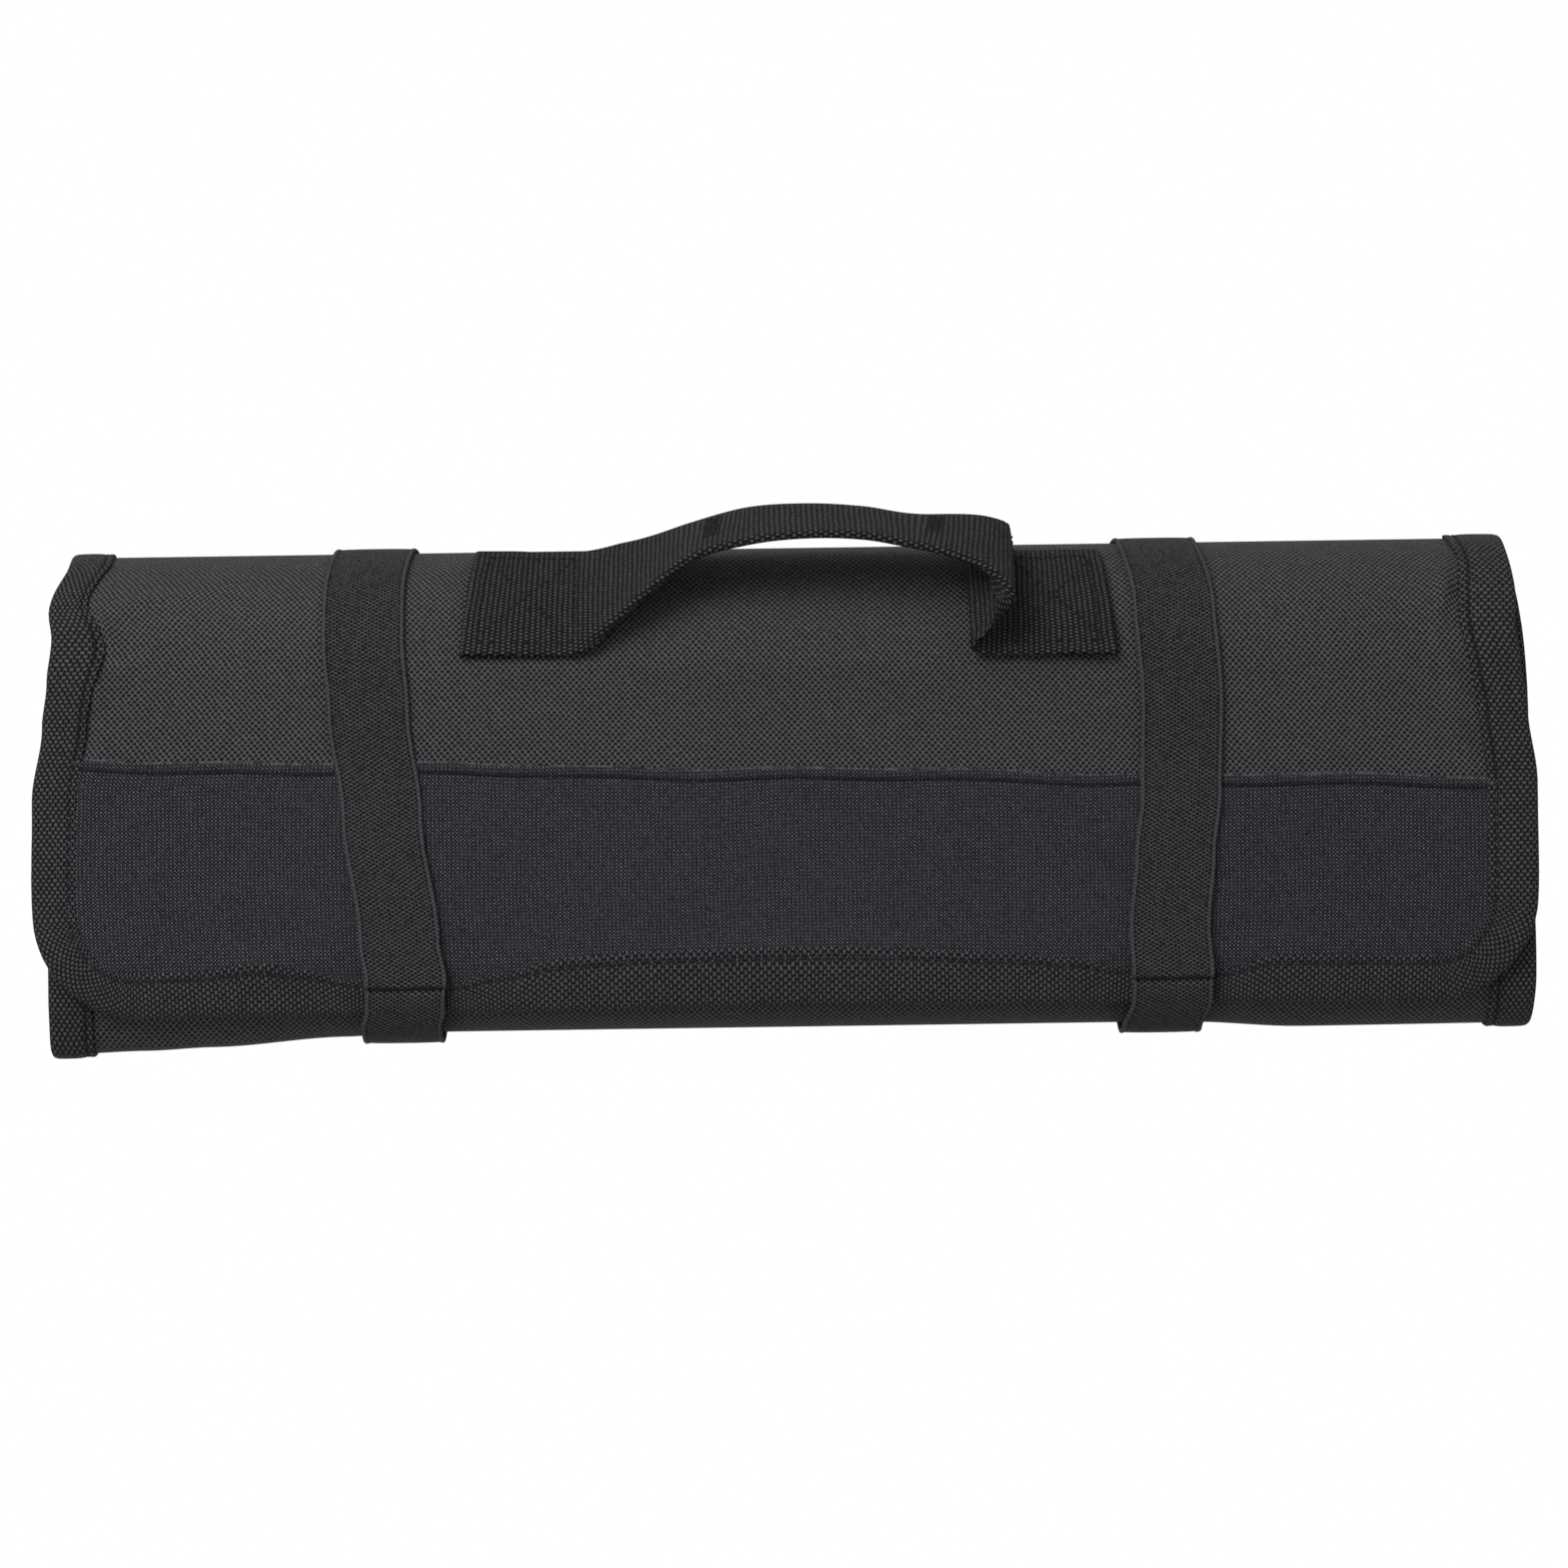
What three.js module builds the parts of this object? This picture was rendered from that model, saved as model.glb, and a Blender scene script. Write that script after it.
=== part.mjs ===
// Chef knife roll, rolled up and lying on its back edge, millimetres, +Z up.
// X runs along the roll, -Y is the front where the flap ends.
import * as THREE from "three";

// Named sizes of the whole roll.
const LENGTH = 457;           // along the roll, over the edge binding
const DEPTH = 150;            // front to back of the rolled bundle
const HEIGHT = 76;            // height at the thick back of the bundle
const NOSE_RADIUS = 19;       // outside radius of the thin front
const LAYER_PITCH = 7;        // one turn of the cloth to the next
const TUCK_RADIUS = 15.2;     // nose radius of the turn under the flap
const TUCK_FORWARD = 0.6;     // how far that turn bulges ahead of the flap
const FLAP_DROP_DEG = 16;     // how far the flap's stiff edge turns down
const FLAP_BEND_RADIUS = 26;  // radius of that turn, outside
const FLAP_BEND_BACK = 9;     // the turn starts this far up the face
const NOSE_FLARE = 5;         // loose nose of the under turn at its ends
const INNER_TAIL = 22;        // cloth left past the last nose turn
const CORNER_RADIUS = 30;     // rounded corners of the cloth

// Cloth, tape and webbing.
const WALL = 2.6;             // padded wall of the wrap
const GAP = 0.3;              // clearance between sewn pieces
const FACING = 0.6;           // thickness of the facing on the flap
const PANEL_GAP = 0.9;        // facing to the inner edge of the binding
const TAPE = 0.9;             // thickness of the edge binding
const TAPE_LEG = 12.5;        // how far the binding reaches in from the edge
const FACING_LEFT = 79;       // free edge to facing seam at the left
const FACING_RIGHT = 67;      // free edge to facing seam at the right
const STRAP_WIDTH = 25;
const STRAP = 1.2;            // thickness of the elastic straps
const STRAP_CLEAR = 0.25;     // strap over the highest thing under it
const STRAP_EASE = 0.4;       // less room needed where no binding lies
const STRAP_SINK = 1.2;       // strap drawn in below the flap's edge
const BAND_WIDTH = 38;        // width of the handle webbing
const BAND = 1.6;             // thickness of the handle webbing
const BAND_FOLD = 2.4;        // middle to middle of the folded grip layers

// Handle layout.
const HANDLE_ROUND_DEG = 33;  // handle line, degrees round the back
const HANDLE_LEFT = -96;
const HANDLE_RIGHT = 100;
const HANDLE_HEM = 14;        // webbing tucked under at each end
const HANDLE_RISE = 22.5;     // arch of the grip above its patches
const HANDLE_LEAN_DEG = 16;   // grip leans back from its patches
const PATCH_BEND = 60;        // radius the sewn webbing bends to
const FLATTEN = 1.8;          // wrap pushed flat under the patches
const PATCH_CLEAR = 0.35;     // more room under the curved patches

const HALF_WALL = WALL / 2;
const EDGE_OUT = GAP + TAPE;
const HALF_CLOTH = LENGTH / 2 - EDGE_OUT;
const BACK_RADIUS = HEIGHT / 2;

// The cloth is rolled round these circles, from the flap inward.
// Columns: centre y, centre z, radius of the middle of the wall.
function rollCircles() {
  const backY = DEPTH / 2 - BACK_RADIUS;
  const noseY = NOSE_RADIUS - DEPTH / 2;
  const tuckY = noseY - TUCK_FORWARD;
  const tuckZ = TUCK_RADIUS;
  const nose = { y: noseY, z: NOSE_RADIUS, r: NOSE_RADIUS - HALF_WALL };
  const back = { y: backY, z: BACK_RADIUS, r: BACK_RADIUS - HALF_WALL };
  const face = runAngle(nose, back);
  const depth = NOSE_RADIUS - FLAP_BEND_RADIUS;
  const bend = {
    y: noseY + depth * Math.cos(face) + FLAP_BEND_BACK * Math.sin(face),
    z: NOSE_RADIUS + depth * Math.sin(face) - FLAP_BEND_BACK * Math.cos(face),
    r: FLAP_BEND_RADIUS - HALF_WALL,
  };
  return [
    bend,
    back,
    { y: tuckY, z: tuckZ, r: TUCK_RADIUS - HALF_WALL },
    { y: backY, z: BACK_RADIUS, r: BACK_RADIUS - LAYER_PITCH - HALF_WALL },
    { y: tuckY, z: tuckZ, r: TUCK_RADIUS - LAYER_PITCH - HALF_WALL },
  ];
}

// Angle of the outward normal of the straight run between two circles.
function runAngle(a, b) {
  const dy = b.y - a.y;
  const dz = b.z - a.z;
  const span = Math.hypot(dy, dz);
  return Math.atan2(dz, dy) + Math.acos((a.r - b.r) / span);
}

// Pieces of a belt round the circles: arcs and straight runs in order.
// It starts with a straight lead and stops short of the last circle by
// the tail.
function beltPieces(circles, startAngle, lead, tail) {
  const pieces = [];
  let angle = startAngle;
  let s = lead;
  for (let i = 0; i + 1 < circles.length; i += 1) {
    const a = circles[i];
    const b = circles[i + 1];
    let next = runAngle(a, b);
    while (next > angle) next -= 2 * Math.PI;
    const sweep = angle - next;
    pieces.push({ kind: "arc", circle: a, from: angle, s, len: a.r * sweep });
    s += a.r * sweep;
    const dy = b.y - a.y + (b.r - a.r) * Math.cos(next);
    const dz = b.z - a.z + (b.r - a.r) * Math.sin(next);
    const len = Math.hypot(dy, dz);
    const last = i + 2 === circles.length;
    const used = last ? len - tail : len;
    pieces.push({ kind: "run", circle: a, from: next, s, len: used });
    s += used;
    angle = next;
  }
  return { pieces, total: s };
}

// Point and outward normal of a belt at distance s from its start.
function beltAt(belt, s) {
  let piece = belt.pieces[0];
  for (const p of belt.pieces) {
    if (p.s <= s) piece = p;
  }
  const { circle, from } = piece;
  const along = s - piece.s;
  const turning = piece.kind === "arc" && along > 0;
  const angle = turning ? from - along / circle.r : from;
  const ny = Math.cos(angle);
  const nz = Math.sin(angle);
  const slide = turning ? 0 : along;
  return {
    y: circle.y + circle.r * ny + slide * nz,
    z: circle.z + circle.r * nz - slide * ny,
    ny,
    nz,
  };
}

const CIRCLES = rollCircles();
const FACE_ANGLE = runAngle(CIRCLES[0], CIRCLES[1]);
const FLAP_DROP = THREE.MathUtils.degToRad(FLAP_DROP_DEG);
const CLOTH = beltPieces(CIRCLES, FACE_ANGLE + FLAP_DROP, TAPE_LEG, INNER_TAIL);
const CLOTH_LENGTH = CLOTH.total;
const FACE_START = CLOTH.pieces[1].s;
const BACK_START = CLOTH.pieces[2].s;
const TUCK_START = CLOTH.pieces[4].s;
const HANDLE_S = BACK_START
  + CIRCLES[1].r * THREE.MathUtils.degToRad(HANDLE_ROUND_DEG);

// Smooth step from 0 to 1 between two values.
function ease(from, to, value) {
  const t = Math.min(1, Math.max(0, (value - from) / (to - from)));
  return t * t * (3 - 2 * t);
}

// Value read from a table of rows, eased between rows.
function tableAt(rows, key, column, value) {
  if (value <= rows[0][key]) return rows[0][column];
  for (let i = 1; i < rows.length; i += 1) {
    const a = rows[i - 1];
    const b = rows[i];
    if (value <= b[key]) {
      const t = ease(a[key], b[key], value);
      return a[column] + (b[column] - a[column]) * t;
    }
  }
  return rows[rows.length - 1][column];
}

// How far the two long-side edges pull in, as shares of LENGTH, at
// stations given as shares of the first turn of cloth.
const SIDE_ROWS = [
  { at: 0.00, left: 0.0035, right: 0.004 },
  { at: 0.12, left: 0.0, right: 0.0 },
  { at: 0.20, left: 0.001, right: 0.0 },
  { at: 0.27, left: 0.0085, right: 0.006 },
  { at: 0.31, left: 0.012, right: 0.010 },
  { at: 0.35, left: 0.015, right: 0.013 },
  { at: 0.38, left: 0.012, right: 0.011 },
  { at: 0.44, left: 0.020, right: 0.012 },
  { at: 0.58, left: 0.012, right: 0.006 },
  { at: 0.80, left: 0.006, right: 0.002 },
  { at: 1.00, left: 0.003, right: 0.001 },
  { at: 1.12, left: 0.0075, right: 0.0 },
  { at: 1.35, left: 0.010, right: 0.003 },
  { at: 1.50, left: 0.016, right: 0.008 },
  { at: 1.90, left: 0.016, right: 0.008 },
];

// Lift of the flap's free edge along X, as shares of LAYER_PITCH, and
// how far the edge draws back, as shares of TAPE_LEG.
const FLAP_ROWS = [
  { at: -0.50, lift: 0.04, draw: 0.0 },
  { at: -0.30, lift: 0.0, draw: 0.05 },
  { at: -0.22, lift: 0.0, draw: 0.05 },
  { at: 0.02, lift: 0.32, draw: 0.20 },
  { at: 0.225, lift: 0.0, draw: 0.05 },
  { at: 0.295, lift: 0.0, draw: 0.05 },
  { at: 0.50, lift: 0.04, draw: 0.0 },
];

// How loose the nose of the turn under the flap is along X, as shares
// of NOSE_FLARE.
const FLARE_ROWS = [
  { at: -0.50, flare: 1.10 },
  { at: -0.435, flare: 0.92 },
  { at: -0.39, flare: 0.75 },
  { at: -0.30, flare: 0.22 },
  { at: -0.26, flare: 0.04 },
  { at: -0.22, flare: 0.0 },
  { at: 0.22, flare: 0.0 },
  { at: 0.27, flare: 0.04 },
  { at: 0.345, flare: 0.40 },
  { at: 0.50, flare: 0.35 },
];

const TURN = TUCK_START;
const TUCK_LOW = TUCK_START + CIRCLES[2].r * THREE.MathUtils.degToRad(18);
const TUCK_HIGH = TUCK_START + CIRCLES[2].r * THREE.MathUtils.degToRad(122);

// Outward lift of the cloth middle at flat position (x, s).
function clothLift(x, s) {
  const edge = 1 - ease(0, TAPE_LEG * 2.4, s);
  let lift = tableAt(FLAP_ROWS, "at", "lift", x / LENGTH) * LAYER_PITCH * edge;
  const across = Math.abs(s - HANDLE_S);
  const near = 1 - ease(BAND_WIDTH / 2, BAND_WIDTH * 0.85, across);
  const inside = ease(HANDLE_LEFT - 14, HANDLE_LEFT + 4, x)
    * (1 - ease(HANDLE_RIGHT - 4, HANDLE_RIGHT + 14, x));
  const share = Math.min(1, across / (BAND_WIDTH / 2));
  lift += FLATTEN * (share * share - 0.5) * near * inside;
  const round = (s - TUCK_LOW) / (TUCK_HIGH - TUCK_LOW);
  if (round > 0 && round < 1) {
    const flare = tableAt(FLARE_ROWS, "at", "flare", x / LENGTH) * NOSE_FLARE;
    lift += flare * Math.sin(Math.PI * round) ** 2;
  }
  return lift;
}

// Place on the rolled cloth: x and s are flat cloth positions, out is
// the distance outward from the middle of the wall.
function onCloth(x, s, out) {
  const side = x < 0 ? "left" : "right";
  const pull = tableAt(SIDE_ROWS, "at", side, s / TURN) * LENGTH;
  const squeeze = 1 - pull / (LENGTH / 2);
  const fade = 1 - ease(0, TAPE_LEG * 4, s);
  const draw = tableAt(FLAP_ROWS, "at", "draw", x / LENGTH) * TAPE_LEG;
  const p = beltAt(CLOTH, s + draw * fade);
  const d = out + clothLift(x, s);
  return new THREE.Vector3(x * squeeze, p.y + d * p.ny, p.z + d * p.nz);
}

// Distances along the cloth where its facets break.
function clothStations() {
  const marks = [];
  for (let k = 0; k <= 6; k += 1) {
    const dip = CORNER_RADIUS * (1 - Math.cos((k / 6) * (Math.PI / 2)));
    marks.push(dip, CLOTH_LENGTH - dip);
  }
  for (const piece of CLOTH.pieces) {
    const step = piece.kind === "arc" ? Math.max(3.2, piece.circle.r * 0.25) : 26;
    const n = Math.max(1, Math.ceil(piece.len / step));
    for (let k = 1; k <= n; k += 1) marks.push(piece.s + (piece.len * k) / n);
  }
  marks.sort((a, b) => a - b);
  const kept = [];
  for (const m of marks) {
    const free = m > CORNER_RADIUS + 0.01
      && m < CLOTH_LENGTH - CORNER_RADIUS - 0.01;
    const close = kept.length > 0 && m - kept[kept.length - 1] < 2.4;
    const same = kept.length > 0 && m - kept[kept.length - 1] < 0.3;
    if (!same && !(free && close)) kept.push(m);
  }
  return kept;
}

// Half width of the cloth at distance s, with its rounded corners.
function halfWidth(s, half, radius, length) {
  const dip = Math.min(s, length - s);
  if (dip >= radius) return half;
  const h = radius - dip;
  return half - radius + Math.sqrt(Math.max(0, radius * radius - h * h));
}

// Closed solid from a grid of paired outer and inner points.
function slab(outer, inner) {
  const rows = outer.length;
  const cols = outer[0].length;
  const points = [];
  for (const grid of [outer, inner]) {
    for (const row of grid) {
      for (const p of row) points.push(p.x, p.y, p.z);
    }
  }
  const far = rows * cols;
  const at = (i, j) => i * cols + j;
  const faces = [];
  const quad = (a, b, c, d) => faces.push(a, b, c, a, c, d);
  for (let i = 0; i + 1 < rows; i += 1) {
    for (let j = 0; j + 1 < cols; j += 1) {
      quad(at(i, j), at(i, j + 1), at(i + 1, j + 1), at(i + 1, j));
      quad(far + at(i, j), far + at(i + 1, j),
        far + at(i + 1, j + 1), far + at(i, j + 1));
    }
  }
  const rim = [];
  for (let j = 0; j < cols; j += 1) rim.push(at(0, j));
  for (let i = 1; i < rows; i += 1) rim.push(at(i, cols - 1));
  for (let j = cols - 2; j >= 0; j -= 1) rim.push(at(rows - 1, j));
  for (let i = rows - 2; i > 0; i -= 1) rim.push(at(i, 0));
  for (let k = 0; k < rim.length; k += 1) {
    const a = rim[k];
    const b = rim[(k + 1) % rim.length];
    quad(b, a, far + a, far + b);
  }
  return solid(points, faces);
}

// Closed solid from rings of points; open chains get flat end caps.
function sweep(rings, closed) {
  const n = rings[0].length;
  const points = [];
  for (const ring of rings) {
    for (const p of ring) points.push(p.x, p.y, p.z);
  }
  const faces = [];
  const last = closed ? rings.length : rings.length - 1;
  for (let i = 0; i < last; i += 1) {
    const a = i * n;
    const b = ((i + 1) % rings.length) * n;
    for (let k = 0; k < n; k += 1) {
      const m = (k + 1) % n;
      faces.push(a + k, b + k, b + m, a + k, b + m, a + m);
    }
  }
  if (!closed) {
    const half = n / 2;
    const end = (rings.length - 1) * n;
    for (let k = 0; k + 1 < half; k += 1) {
      const a = k;
      const b = k + 1;
      const c = n - 2 - k;
      const d = n - 1 - k;
      faces.push(a, b, c, a, c, d);
      faces.push(end + a, end + c, end + b, end + a, end + d, end + c);
    }
  }
  return solid(points, faces);
}

// Geometry turned so that its volume is positive.
function solid(points, faces) {
  let volume = 0;
  for (let k = 0; k < faces.length; k += 3) {
    const [a, b, c] = [faces[k] * 3, faces[k + 1] * 3, faces[k + 2] * 3];
    volume += points[a] * (points[b + 1] * points[c + 2] - points[b + 2] * points[c + 1])
      + points[a + 1] * (points[b + 2] * points[c] - points[b] * points[c + 2])
      + points[a + 2] * (points[b] * points[c + 1] - points[b + 1] * points[c]);
  }
  if (volume < 0) faces.reverse();
  const geometry = new THREE.BufferGeometry();
  geometry.setAttribute("position", new THREE.Float32BufferAttribute(points, 3));
  geometry.setIndex(faces);
  return geometry;
}

const CLOTH_COLUMNS = 14;

// The rolled cloth itself: hollow down the middle, open at both ends.
function outerWrap() {
  const outer = [];
  const inner = [];
  for (const s of clothStations()) {
    const half = halfWidth(s, HALF_CLOTH, CORNER_RADIUS, CLOTH_LENGTH);
    const outerRow = [];
    const innerRow = [];
    for (let j = 0; j <= CLOTH_COLUMNS; j += 1) {
      const x = half * (-1 + (2 * j) / CLOTH_COLUMNS);
      outerRow.push(onCloth(x, s, HALF_WALL));
      innerRow.push(onCloth(x, s, -HALF_WALL));
    }
    outer.push(outerRow);
    inner.push(innerRow);
  }
  return slab(outer, inner);
}

// Finer second layer sewn on the outside of the flap.
function flapPanel() {
  const inset = TAPE_LEG + PANEL_GAP;
  const radius = CORNER_RADIUS - inset;
  const rows = [];
  for (let k = 0; k <= 4; k += 1) {
    rows.push((radius * (1 - Math.cos((k / 4) * (Math.PI / 2)))) / FACING_LEFT);
  }
  const start = rows[4];
  const room = 1 - inset / FACING_LEFT;
  for (let k = 1; k <= 5; k += 1) rows.push(start + ((room - start) * k) / 5);
  const outer = [];
  const inner = [];
  for (const row of rows) {
    const share = row / room;
    const half = halfWidth(row * FACING_LEFT, HALF_CLOTH - inset, radius, 1e6);
    const outerRow = [];
    const innerRow = [];
    for (let j = 0; j <= CLOTH_COLUMNS; j += 1) {
      const x = half * (-1 + (2 * j) / CLOTH_COLUMNS);
      const reach = FACING_LEFT + (FACING_RIGHT - FACING_LEFT) * (x / LENGTH + 0.5);
      const s = inset + share * (reach - inset);
      outerRow.push(onCloth(x, s, HALF_WALL + GAP + FACING));
      innerRow.push(onCloth(x, s, HALF_WALL + GAP));
    }
    outer.push(outerRow);
    inner.push(innerRow);
  }
  return slab(outer, inner);
}

// Stations round the edge of the flat cloth with their outward way.
function edgeStations() {
  const stops = [];
  const add = (x, s, ox, os) => stops.push({ x, s, ox, os });
  const half = HALF_CLOTH;
  const flat = half - CORNER_RADIUS;
  const corner = (cx, cs, from) => {
    for (let k = 0; k <= 6; k += 1) {
      const a = from + (k / 6) * (Math.PI / 2);
      const ox = Math.cos(a);
      const os = Math.sin(a);
      add(cx + CORNER_RADIUS * ox, cs + CORNER_RADIUS * os, ox, os);
    }
  };
  const sides = clothStations().filter(
    (s) => s > CORNER_RADIUS + 0.5 && s < CLOTH_LENGTH - CORNER_RADIUS - 0.5,
  );
  corner(-flat, CORNER_RADIUS, Math.PI);
  for (let j = 1; j < CLOTH_COLUMNS; j += 1) {
    add(flat * (-1 + (2 * j) / CLOTH_COLUMNS), 0, 0, -1);
  }
  corner(flat, CORNER_RADIUS, -Math.PI / 2);
  for (const s of sides) add(half, s, 1, 0);
  corner(flat, CLOTH_LENGTH - CORNER_RADIUS, 0);
  for (let j = CLOTH_COLUMNS - 1; j > 0; j -= 1) {
    add(flat * (-1 + (2 * j) / CLOTH_COLUMNS), CLOTH_LENGTH, 0, 1);
  }
  corner(-flat, CLOTH_LENGTH - CORNER_RADIUS, Math.PI / 2);
  for (const s of sides.reverse()) add(-half, s, -1, 0);
  return stops;
}

// One tape folded over the raw edge all the way round the cloth.
function bindingTape() {
  const low = HALF_WALL + GAP;
  const high = low + TAPE;
  const mid = -TAPE_LEG / 2;
  const profile = [
    [-TAPE_LEG, low], [-TAPE_LEG, high], [mid, high], [EDGE_OUT, high],
    [EDGE_OUT, -high], [mid, -high], [-TAPE_LEG, -high], [-TAPE_LEG, -low],
    [mid, -low], [GAP, -low], [GAP, low], [mid, low],
  ];
  const rings = edgeStations().map(({ x, s, ox, os }) => profile.map(
    ([reach, out]) => onCloth(x + reach * ox, s + reach * os, out),
  ));
  return sweep(rings, true);
}

// Path of a strap: a belt round nose and back, standing off the roll.
function strapBelt() {
  const overTape = HALF_WALL + EDGE_OUT + STRAP_CLEAR + STRAP / 2;
  const overCloth = overTape - STRAP_EASE;
  const back = CIRCLES[1];
  const front = {
    y: NOSE_RADIUS - DEPTH / 2,
    z: NOSE_RADIUS + STRAP_EASE,
    r: NOSE_RADIUS - HALF_WALL + overTape,
  };
  const rear = { y: back.y, z: back.z, r: back.r + overCloth };
  const under = runAngle(rear, front) + 2 * Math.PI;
  return beltPieces([front, rear, front], under, 0, 0);
}

// Sideways run of each strap along its loop, from under the nose up
// over the flap: share of the loop, place along X as a share of LENGTH
// and how far the band sinks in, as a share of STRAP_SINK.
const STRAP_LEFT_ROWS = [
  { at: 0.000, x: -0.2575, sink: 0.0 },
  { at: 0.070, x: -0.2570, sink: 1.0 },
  { at: 0.105, x: -0.2565, sink: 0.0 },
  { at: 0.125, x: -0.2530, sink: 0.0 },
  { at: 0.150, x: -0.2520, sink: 0.0 },
  { at: 0.180, x: -0.2560, sink: 0.0 },
  { at: 0.280, x: -0.2665, sink: 0.0 },
  { at: 0.360, x: -0.2748, sink: 0.0 },
  { at: 0.420, x: -0.2780, sink: 0.0 },
  { at: 0.460, x: -0.2780, sink: 0.0 },
  { at: 0.540, x: -0.2750, sink: 0.0 },
  { at: 0.600, x: -0.2735, sink: 0.0 },
  { at: 0.800, x: -0.2700, sink: 0.0 },
  { at: 1.000, x: -0.2575, sink: 0.0 },
];
const STRAP_RIGHT_ROWS = [
  { at: 0.000, x: 0.2500, sink: 0.0 },
  { at: 0.070, x: 0.2500, sink: 1.0 },
  { at: 0.095, x: 0.2502, sink: 0.0 },
  { at: 0.125, x: 0.2560, sink: 0.0 },
  { at: 0.150, x: 0.2562, sink: 0.0 },
  { at: 0.180, x: 0.2545, sink: 0.0 },
  { at: 0.240, x: 0.2588, sink: 0.0 },
  { at: 0.290, x: 0.2632, sink: 0.0 },
  { at: 0.360, x: 0.2648, sink: 0.0 },
  { at: 0.440, x: 0.2612, sink: 0.0 },
  { at: 0.530, x: 0.2540, sink: 0.0 },
  { at: 0.600, x: 0.2520, sink: 0.0 },
  { at: 0.800, x: 0.2510, sink: 0.0 },
  { at: 1.000, x: 0.2500, sink: 0.0 },
];

// One elastic strap: a closed band round the rolled bundle.
function strap(rows) {
  const belt = strapBelt();
  const stations = [];
  for (const piece of belt.pieces) {
    const step = piece.kind === "arc" ? piece.circle.r * 0.18 : 20;
    const n = Math.max(1, Math.ceil(piece.len / step));
    for (let k = 0; k < n; k += 1) stations.push(piece.s + (piece.len * k) / n);
  }
  const corners = [
    [-0.5, 0.5], [-0.47, 0.5], [0.47, 0.5], [0.5, 0.5],
    [0.5, -0.5], [-0.5, -0.5],
  ];
  const rings = stations.map((s) => {
    const p = beltAt(belt, s);
    const x = tableAt(rows, "at", "x", s / belt.total) * LENGTH;
    const sink = tableAt(rows, "at", "sink", s / belt.total) * STRAP_SINK;
    return corners.map(([across, out]) => new THREE.Vector3(
      x + across * STRAP_WIDTH,
      p.y + (out * STRAP - sink) * p.ny,
      p.z + (out * STRAP - sink) * p.nz,
    ));
  });
  return sweep(rings, true);
}

// Run of the handle webbing from patch to patch. Columns: x as a share
// of the handle's reach from its middle, rise as a share of HANDLE_RISE,
// lean as a share of HANDLE_LEAN_DEG, crease as a share of the half
// width still flat below the middle, roll in degrees of the folded part,
// push as millimetres along x where the webbing folds back on itself.
const HANDLE_ROWS = [
  { at: -0.8, rise: 0, lean: 0, crease: 0.78, roll: 0, push: 0 },
  { at: -0.64, rise: 0, lean: 0, crease: 0.78, roll: 0, push: 0 },
  { at: -0.56, rise: 0.12, lean: 0.2, crease: 0.78, roll: 30, push: 0 },
  { at: -0.48, rise: 0.27, lean: 0.4, crease: 0.7, roll: 130, push: 0 },
  { at: -0.38, rise: 0.47, lean: 0.7, crease: 0.42, roll: 172, push: 0 },
  { at: -0.26, rise: 0.74, lean: 1, crease: 0.09, roll: 180, push: 0 },
  { at: -0.12, rise: 0.93, lean: 1, crease: 0.03, roll: 180, push: 0 },
  { at: 0.06, rise: 1, lean: 1, crease: 0.03, roll: 180, push: 0 },
  { at: 0.24, rise: 0.96, lean: 1, crease: 0.03, roll: 180, push: 0 },
  { at: 0.38, rise: 0.84, lean: 1, crease: 0.05, roll: 180, push: 0 },
  { at: 0.48, rise: 0.7, lean: 0.9, crease: 0.1, roll: 180, push: 2 },
  { at: 0.55, rise: 0.58, lean: 0.7, crease: 0.2, roll: 176, push: 7 },
  { at: 0.6, rise: 0.44, lean: 0.5, crease: 0.4, roll: 150, push: 9 },
  { at: 0.64, rise: 0.26, lean: 0.3, crease: 0.6, roll: 90, push: 2 },
  { at: 0.675, rise: 0.1, lean: 0.1, crease: 0.75, roll: 25, push: -7 },
  { at: 0.71, rise: 0.02, lean: 0, crease: 0.78, roll: 0, push: -8 },
  { at: 0.76, rise: 0, lean: 0, crease: 0.78, roll: 0, push: -3 },
  { at: 0.82, rise: 0, lean: 0, crease: 0.78, roll: 0, push: 0 },
  { at: 0.9, rise: 0, lean: 0, crease: 0.78, roll: 0, push: 0 },
];

// Smooth curve through table rows.
function curveAt(rows, column, value) {
  const last = rows.length - 1;
  let i = 0;
  while (i < last - 1 && value > rows[i + 1].at) i += 1;
  const t = (value - rows[i].at) / (rows[i + 1].at - rows[i].at);
  const v = (k) => rows[Math.min(last, Math.max(0, k))][column];
  const w = (k) => rows[Math.min(last, Math.max(0, k))].at;
  const slope = (k) => (k <= 0 || k >= last ? 0
    : (v(k + 1) - v(k - 1)) / (w(k + 1) - w(k - 1)));
  const span = w(i + 1) - w(i);
  const t2 = t * t;
  const t3 = t2 * t;
  return v(i) * (2 * t3 - 3 * t2 + 1) + v(i + 1) * (3 * t2 - 2 * t3)
    + slope(i) * span * (t3 - 2 * t2 + t) + slope(i + 1) * span * (t3 - t2);
}

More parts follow.
